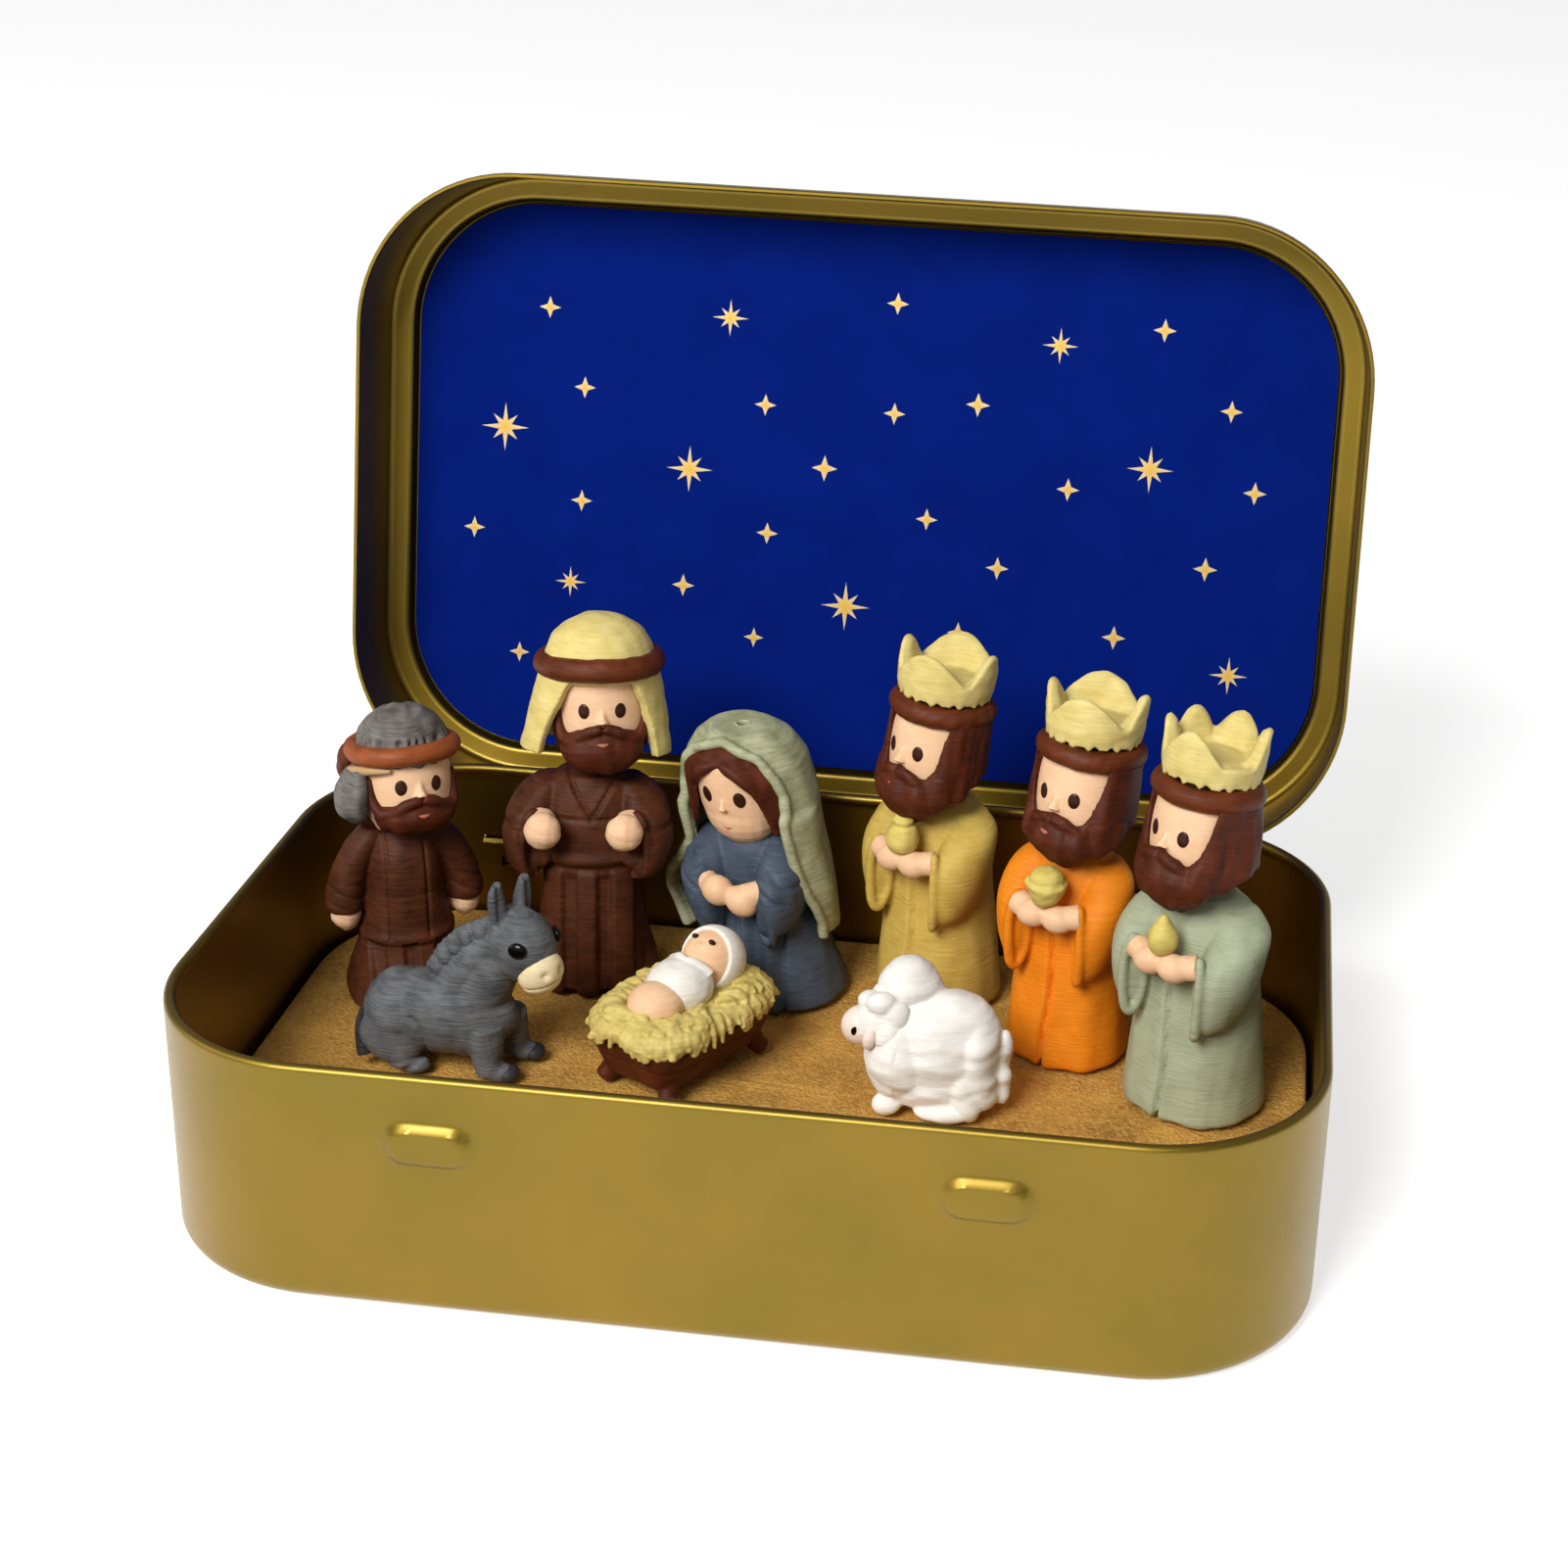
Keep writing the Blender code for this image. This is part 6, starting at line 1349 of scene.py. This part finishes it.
nose = [egg(from_poll(2.48, 0, -1.83), (1.85, 2.1, 2.15), (0, 20, HEAD_TURN), sides=32)]
pale = printed("printed_resin_muzzle", "#f0dfb8", "#dcc797", 0.55, 0.6)
finish(sculpt("donkey_muzzle_print", nose, place, 0.13, 2, muzzle), pale, "skin", "donkey", "donkey_muzzle")
knots = []
for step in range(11):
    x = np.interp(step / 10, (0, 0.33, 0.66, 1), (-0.4, 0.7, 2.3, 4.5))
    z = np.interp(step / 10, (0, 0.33, 0.66, 1), (9.4, 11.3, 12.9, 14.0))
    side = (-1) ** step
    knots.append(egg((x - 0.25, 0.3 * side - 0.2, z), (0.78, 0.68, 1.05), (24 * side, -32, 0), sides=14))
finish(sculpt("donkey_mane", knots, place, 0.12, 1), grey, "grey_print", "donkey")
hooves = []
for share, side in ((-0.72, 1), (0.62, -1), (0.80, 1)):
    hooves.append(egg((share * HALF_BODY + 1.9, side * 2.0, 0.75), (0.95, 1.1, 0.72)))
# The tail lies down the rump, dark as the hooves
hooves.append(rope([(-6.6, -1.2, 6.0), (-7.25, -1.3, 4.4), (-7.15, -1.5, 2.6), (-6.85, -1.6, 1.2)],
                   (0.35, 0.4, 0.6, 0.75), 12, 4))
finish(sculpt("donkey_hooves", hooves, place, 0.13, 2), dark_grey, "grey_print", "donkey")
black_eye = printed("eye_enamel_black", "#0c0a0a", "#050404", 0.18, 0.1)
pupils = []
for side in (-1, 1):
    centre = from_poll(2.1, side * 2.22, 0.85)
    pupils.append(egg(centre, (0.85, 0.35, 0.72), (side * 10, 0, HEAD_TURN - side * 27)))
finish(sculpt("donkey_eyes", pupils, place, 0.08, 2), black_eye, "grey_print", "donkey")

# The manger with the child
# A dark trough on four feet, heaped with straw that hangs over its edge in a ragged fringe, and
# the child wrapped in white on top.

place = stand_at(-8.48, 1.68, -29)
parts = [turned([(0, 0, 1.35, 3.5, 6.2), (0, 0, 1.55, 3.85, 6.55), (0, 0, 3.3, 4.45, 7.15),
                 (0, 0, 5.1, 5.05, 7.75), (0, 0, 5.4, 4.9, 7.6)], 72, 7, 3)]
for side in (-1, 1):
    for end in (-1, 1):
        leg = [(side * 2.6, end * 4.9, 3.2), (side * 3.3, end * 5.7, 1.3), (side * 3.75, end * 6.3, 0.4)]
        parts.append(rope(leg, (1.05, 0.9, 0.85), 12, 4))


def board_lines(points):
    """Faint lumps, and the joint between two boards half way up the sides."""
    return 0.05 * waves(points, (1.6, 1.6, 0.9), 93) - 0.12 * np.exp(-((points[:, 2] - 3.5) / 0.12) ** 2)


boards = sculpt("manger_trough_print", parts, place, 0.17, 2, board_lines)
finish(boards, brown, "brown_print", "manger", "manger_trough")


def round_heap(angle):
    """Across and along the squarish edge of the heap, at an angle."""
    return [math.copysign(abs(part) ** 0.66, part) for part in (math.cos(angle), math.sin(angle))]


TOP_STRANDS = 300
HANGING_STRANDS = 84
random = np.random.default_rng(95)
straw = [turned([(0, 0, 5.0, 4.7, 7.3), (0, 0, 5.8, 5.5, 8.1), (0, 0, 6.7, 5.6, 8.2), (0, 0, 7.3, 4.7, 7.3)],
                64, 3, 4)]
for _ in range(TOP_STRANDS):
    angle = random.uniform(0, 2 * math.pi)
    share = random.uniform(0.72, 1.03)
    across, along = round_heap(angle)
    x = 5.3 * across * share
    y = 7.9 * along * share
    z = 7.35 - 1.5 * max(share - 0.86, 0) / 0.17 + random.uniform(-0.15, 0.25)
    turn = math.atan2(along, across) + random.normal(0, 0.7)
    reach = random.uniform(0.9, 1.6)
    step = np.array([math.cos(turn) * reach, math.sin(turn) * reach, 0.0])
    middle = np.array([x, y, z])
    fall = random.uniform(0.2, 0.7) if share > 0.93 else 0.15
    radius = random.uniform(0.30, 0.46)
    line = [middle - step * 0.8 - (0, 0, 0.1), middle + (0, 0, 0.15), middle + step * 0.6 - (0, 0, fall)]
    straw.append(rope(line, (radius, radius * 1.1, radius * 0.7), 7, 3))
for step in range(HANGING_STRANDS):
    angle = 2 * math.pi * (step + random.uniform(-0.3, 0.3)) / HANGING_STRANDS
    across, along = round_heap(angle)
    radius = random.uniform(0.30, 0.48)
    fall = random.uniform(0.2, 1.1)
    x = 5.62 * across
    y = 8.2 * along
    line = [(x * 0.9, y * 0.93, 6.9), (x, y, 6.3), (x * 1.02, y * 1.01, 5.9 - fall)]
    straw.append(rope(line, (radius, radius * 1.1, radius * 0.6), 8, 3))
straw_yellow = printed("printed_resin_straw", "#dccb7c", "#b89f52", 0.62, 0.8)
heap = sculpt("manger_straw_print", straw, place, 0.13, 1, uneven(0.06, (0.5, 0.5, 0.5), 97))
finish(heap, straw_yellow, "cream_print", "manger", "manger_straw")

white_print = printed("printed_resin_white", "#f0ece3", "#e0d9cd", 0.6, 0.6)
parts = [egg((0, 3.75, 9.15), (2.55, 2.75, 2.6), sides=32), egg((0, 2.15, 11.1), (0.32, 0.32, 0.30))]
finish(sculpt("child_face", parts, place, 0.11, 2), skin, "skin", "manger", "child_head")
dots = []
for side in (-1, 1):
    dots.append(egg((side * 0.95, 2.75, 11.42), (0.34, 0.36, 0.24), (-38, side * 12, 0)))
finish(sculpt("child_eyes", dots, place, 0.06, 1), eye_brown, "brown_print", "manger")
collar = [(-2.2, 1.2, 9.3), (-0.9, 0.6, 10.25), (0.0, 0.3, 10.35), (0.9, 0.6, 10.25), (2.2, 1.2, 9.3)]
parts = [egg((0, -0.42, 8.24), (3.0, 2.95, 2.35), sides=36), rope(collar, (0.5, 0.5, 0.45, 0.5, 0.5), 12, 4)]
wrap = sculpt("child_wrap_print", parts, place, 0.14, 3, uneven(0.07, (1.6, 1.0, 1.0), 99))
finish(wrap, white_print, "white_print", "manger", "child_wrap")
legs = sculpt("child_legs_print", [egg((0, -3.54, 7.74), (2.5, 2.5, 1.85), sides=32)], place, 0.14, 2)
finish(legs, skin, "skin", "manger", "child_legs")
hood = []
for level in np.linspace(0, 1, 14):
    tilt = math.radians(8 + 104 * level)
    row = []
    for angle in np.linspace(0, 360, 60):
        turn = math.radians(angle)
        radius = 2.98 * math.sin(tilt)
        local = Vector((radius * math.cos(turn), 2.9 * math.cos(tilt), radius * math.sin(turn)))
        local = Matrix.Rotation(math.radians(-24), 3, "X") @ local
        row.append((local.x, 3.95 + local.y, 9.05 + local.z))
    hood.append(row)
covering = sculpt("child_hood_print", [cloth(hood, 0.55)], place, 0.12, 2)
finish(covering, white_print, "white_print", "manger", "child_hood")

# The sheep
# A white print lying down, its fleece in soft locks with a tuft behind the head. The head's wool
# is a piece of its own, and the face is faintly pink.

place = stand_at(13.58, -0.56, 0)
wool_white = printed("printed_resin_wool", "#f2efe8", "#e4dfd6", 0.62, 0.9)
pink_white = printed("printed_resin_pink_white", "#f2e3d6", "#e6cfbe", 0.55, 0.4)
fleece = [egg((0.6, 0, 5.5), (5.3, 4.1, 4.7), sides=36), egg((-2.2, -0.3, 4.9), (3.4, 4.1, 4.3), sides=32),
          egg((2.0, 0.3, 7.3), (4.1, 3.4, 3.3), sides=32), egg((4.2, 0, 5.6), (2.2, 3.6, 3.9), sides=28),
          egg((6.1, 0.3, 5.1), (1.1, 1.4, 2.5), (0, 12, 0)),
          egg((4.4, -1.4, 3.4), (1.8, 2.2, 2.8), (0, -18, 0)),
          egg((0.2, -0.7, 2.9), (4.8, 3.2, 2.7), sides=32)]
tuft = (((-2.0, 1.32, 10.8), (2.7, 2.5, 2.3)), ((-3.4, 1.2, 10.4), (1.5, 1.8, 1.6)),
        ((-0.7, 1.5, 10.1), (1.7, 1.9, 1.8)), ((-2.2, 1.0, 12.0), (1.3, 1.4, 1.0)))
fleece += [egg(centre, radii) for centre, radii in tuft]
for x, y in ((-3.2, -2.5), (-2.7, 2.4), (3.6, 2.4)):
    fleece.append(egg((x, y, 0.95), (1.3, 1.2, 0.95)))
fleece.append(egg((1.6, -3.0, 0.85), (2.5, 1.2, 0.85)))
fleece.append(egg((3.5, -2.8, 2.6), (1.3, 1.1, 2.6), (0, -14, 0)))
fleece.append(rope([(5.9, -0.2, 5.2), (6.3, -0.5, 3.4), (6.2, -0.6, 1.2)], (0.8, 1.0, 0.75), 14, 4))


def wool(points, seed):
    """Soft level locks pressed into the fleece with a tool."""
    return 0.10 * waves(points, (2.8, 2.4, 1.5), seed) + 0.03 * waves(points, (1.2, 1.2, 0.5), seed + 50)


def flank(points):
    """The locks, with two long level creases on the side that faces the front."""
    near = np.clip(-points[:, 1] / 1.5, 0, 1) * (points[:, 0] > -2.5)
    high = -0.18 * np.exp(-((points[:, 2] - 6.6 - 0.25 * np.sin(points[:, 0] * 0.9)) / 0.55) ** 2)
    low = -0.14 * np.exp(-((points[:, 2] - 3.0 - 0.35 * np.sin(points[:, 0] * 1.3 + 1)) / 0.45) ** 2)
    return wool(points, 103) * 1.3 + (high + low) * near


locks = sculpt("sheep_fleece", fleece, place, 0.17, 3, flank)
finish(locks, wool_white, "white_print", "sheep", "sheep_body")
# The head's own frame: its origin is the middle of the skull
face_place = place @ np.array(Matrix.Translation((-4.03, -0.22, 8.03)))
parts = [egg((0.1, -0.1, 0.0), (2.7, 2.6, 2.5), sides=28)]
curls = (((-1.2, -0.3, 1.7), (0.95, 1.1, 0.95)), ((0.0, -1.2, 2.0), (1.3, 1.2, 1.1)),
         ((1.3, -1.4, 1.0), (1.3, 1.2, 1.3)), ((0.7, -2.0, -0.5), (1.4, 1.1, 1.5)),
         ((0.0, 1.4, 1.6), (1.2, 1.3, 1.2)), ((-0.3, -0.7, -1.5), (1.6, 1.7, 1.3)))
parts += [egg(centre, radii) for centre, radii in curls]
poll = sculpt("sheep_poll", parts, face_place, 0.15, 3, lambda points: wool(points, 105))
finish(poll, wool_white, "white_print", "sheep", "sheep_head")
parts = [egg((-1.8, -0.35, -0.7), (1.8, 1.7, 1.75), (0, -20, 0), sides=28)]
for ear in ([(-0.6, -2.3, 0.1), (-0.8, -2.75, -0.7), (-0.9, -2.6, -1.5)],
            [(-1.0, 1.8, 0.2), (-1.3, 2.3, -0.7), (-1.3, 2.2, -1.4)]):
    parts.append(rope(ear, (0.45, 0.6, 0.4), 12, 4))
finish(sculpt("sheep_face", parts, face_place, 0.12, 2), pink_white, "white_print", "sheep")
SHEEP_EYE = (0.30, 0.16, 0.42)
dots = [egg((-2.2, -1.95, -0.45), SHEEP_EYE, (0, 0, 20)), egg((-2.4, 1.2, -0.45), SHEEP_EYE, (0, 0, -20))]
finish(sculpt("sheep_eyes", dots, face_place, 0.06, 1), black_eye, "grey_print", "sheep")
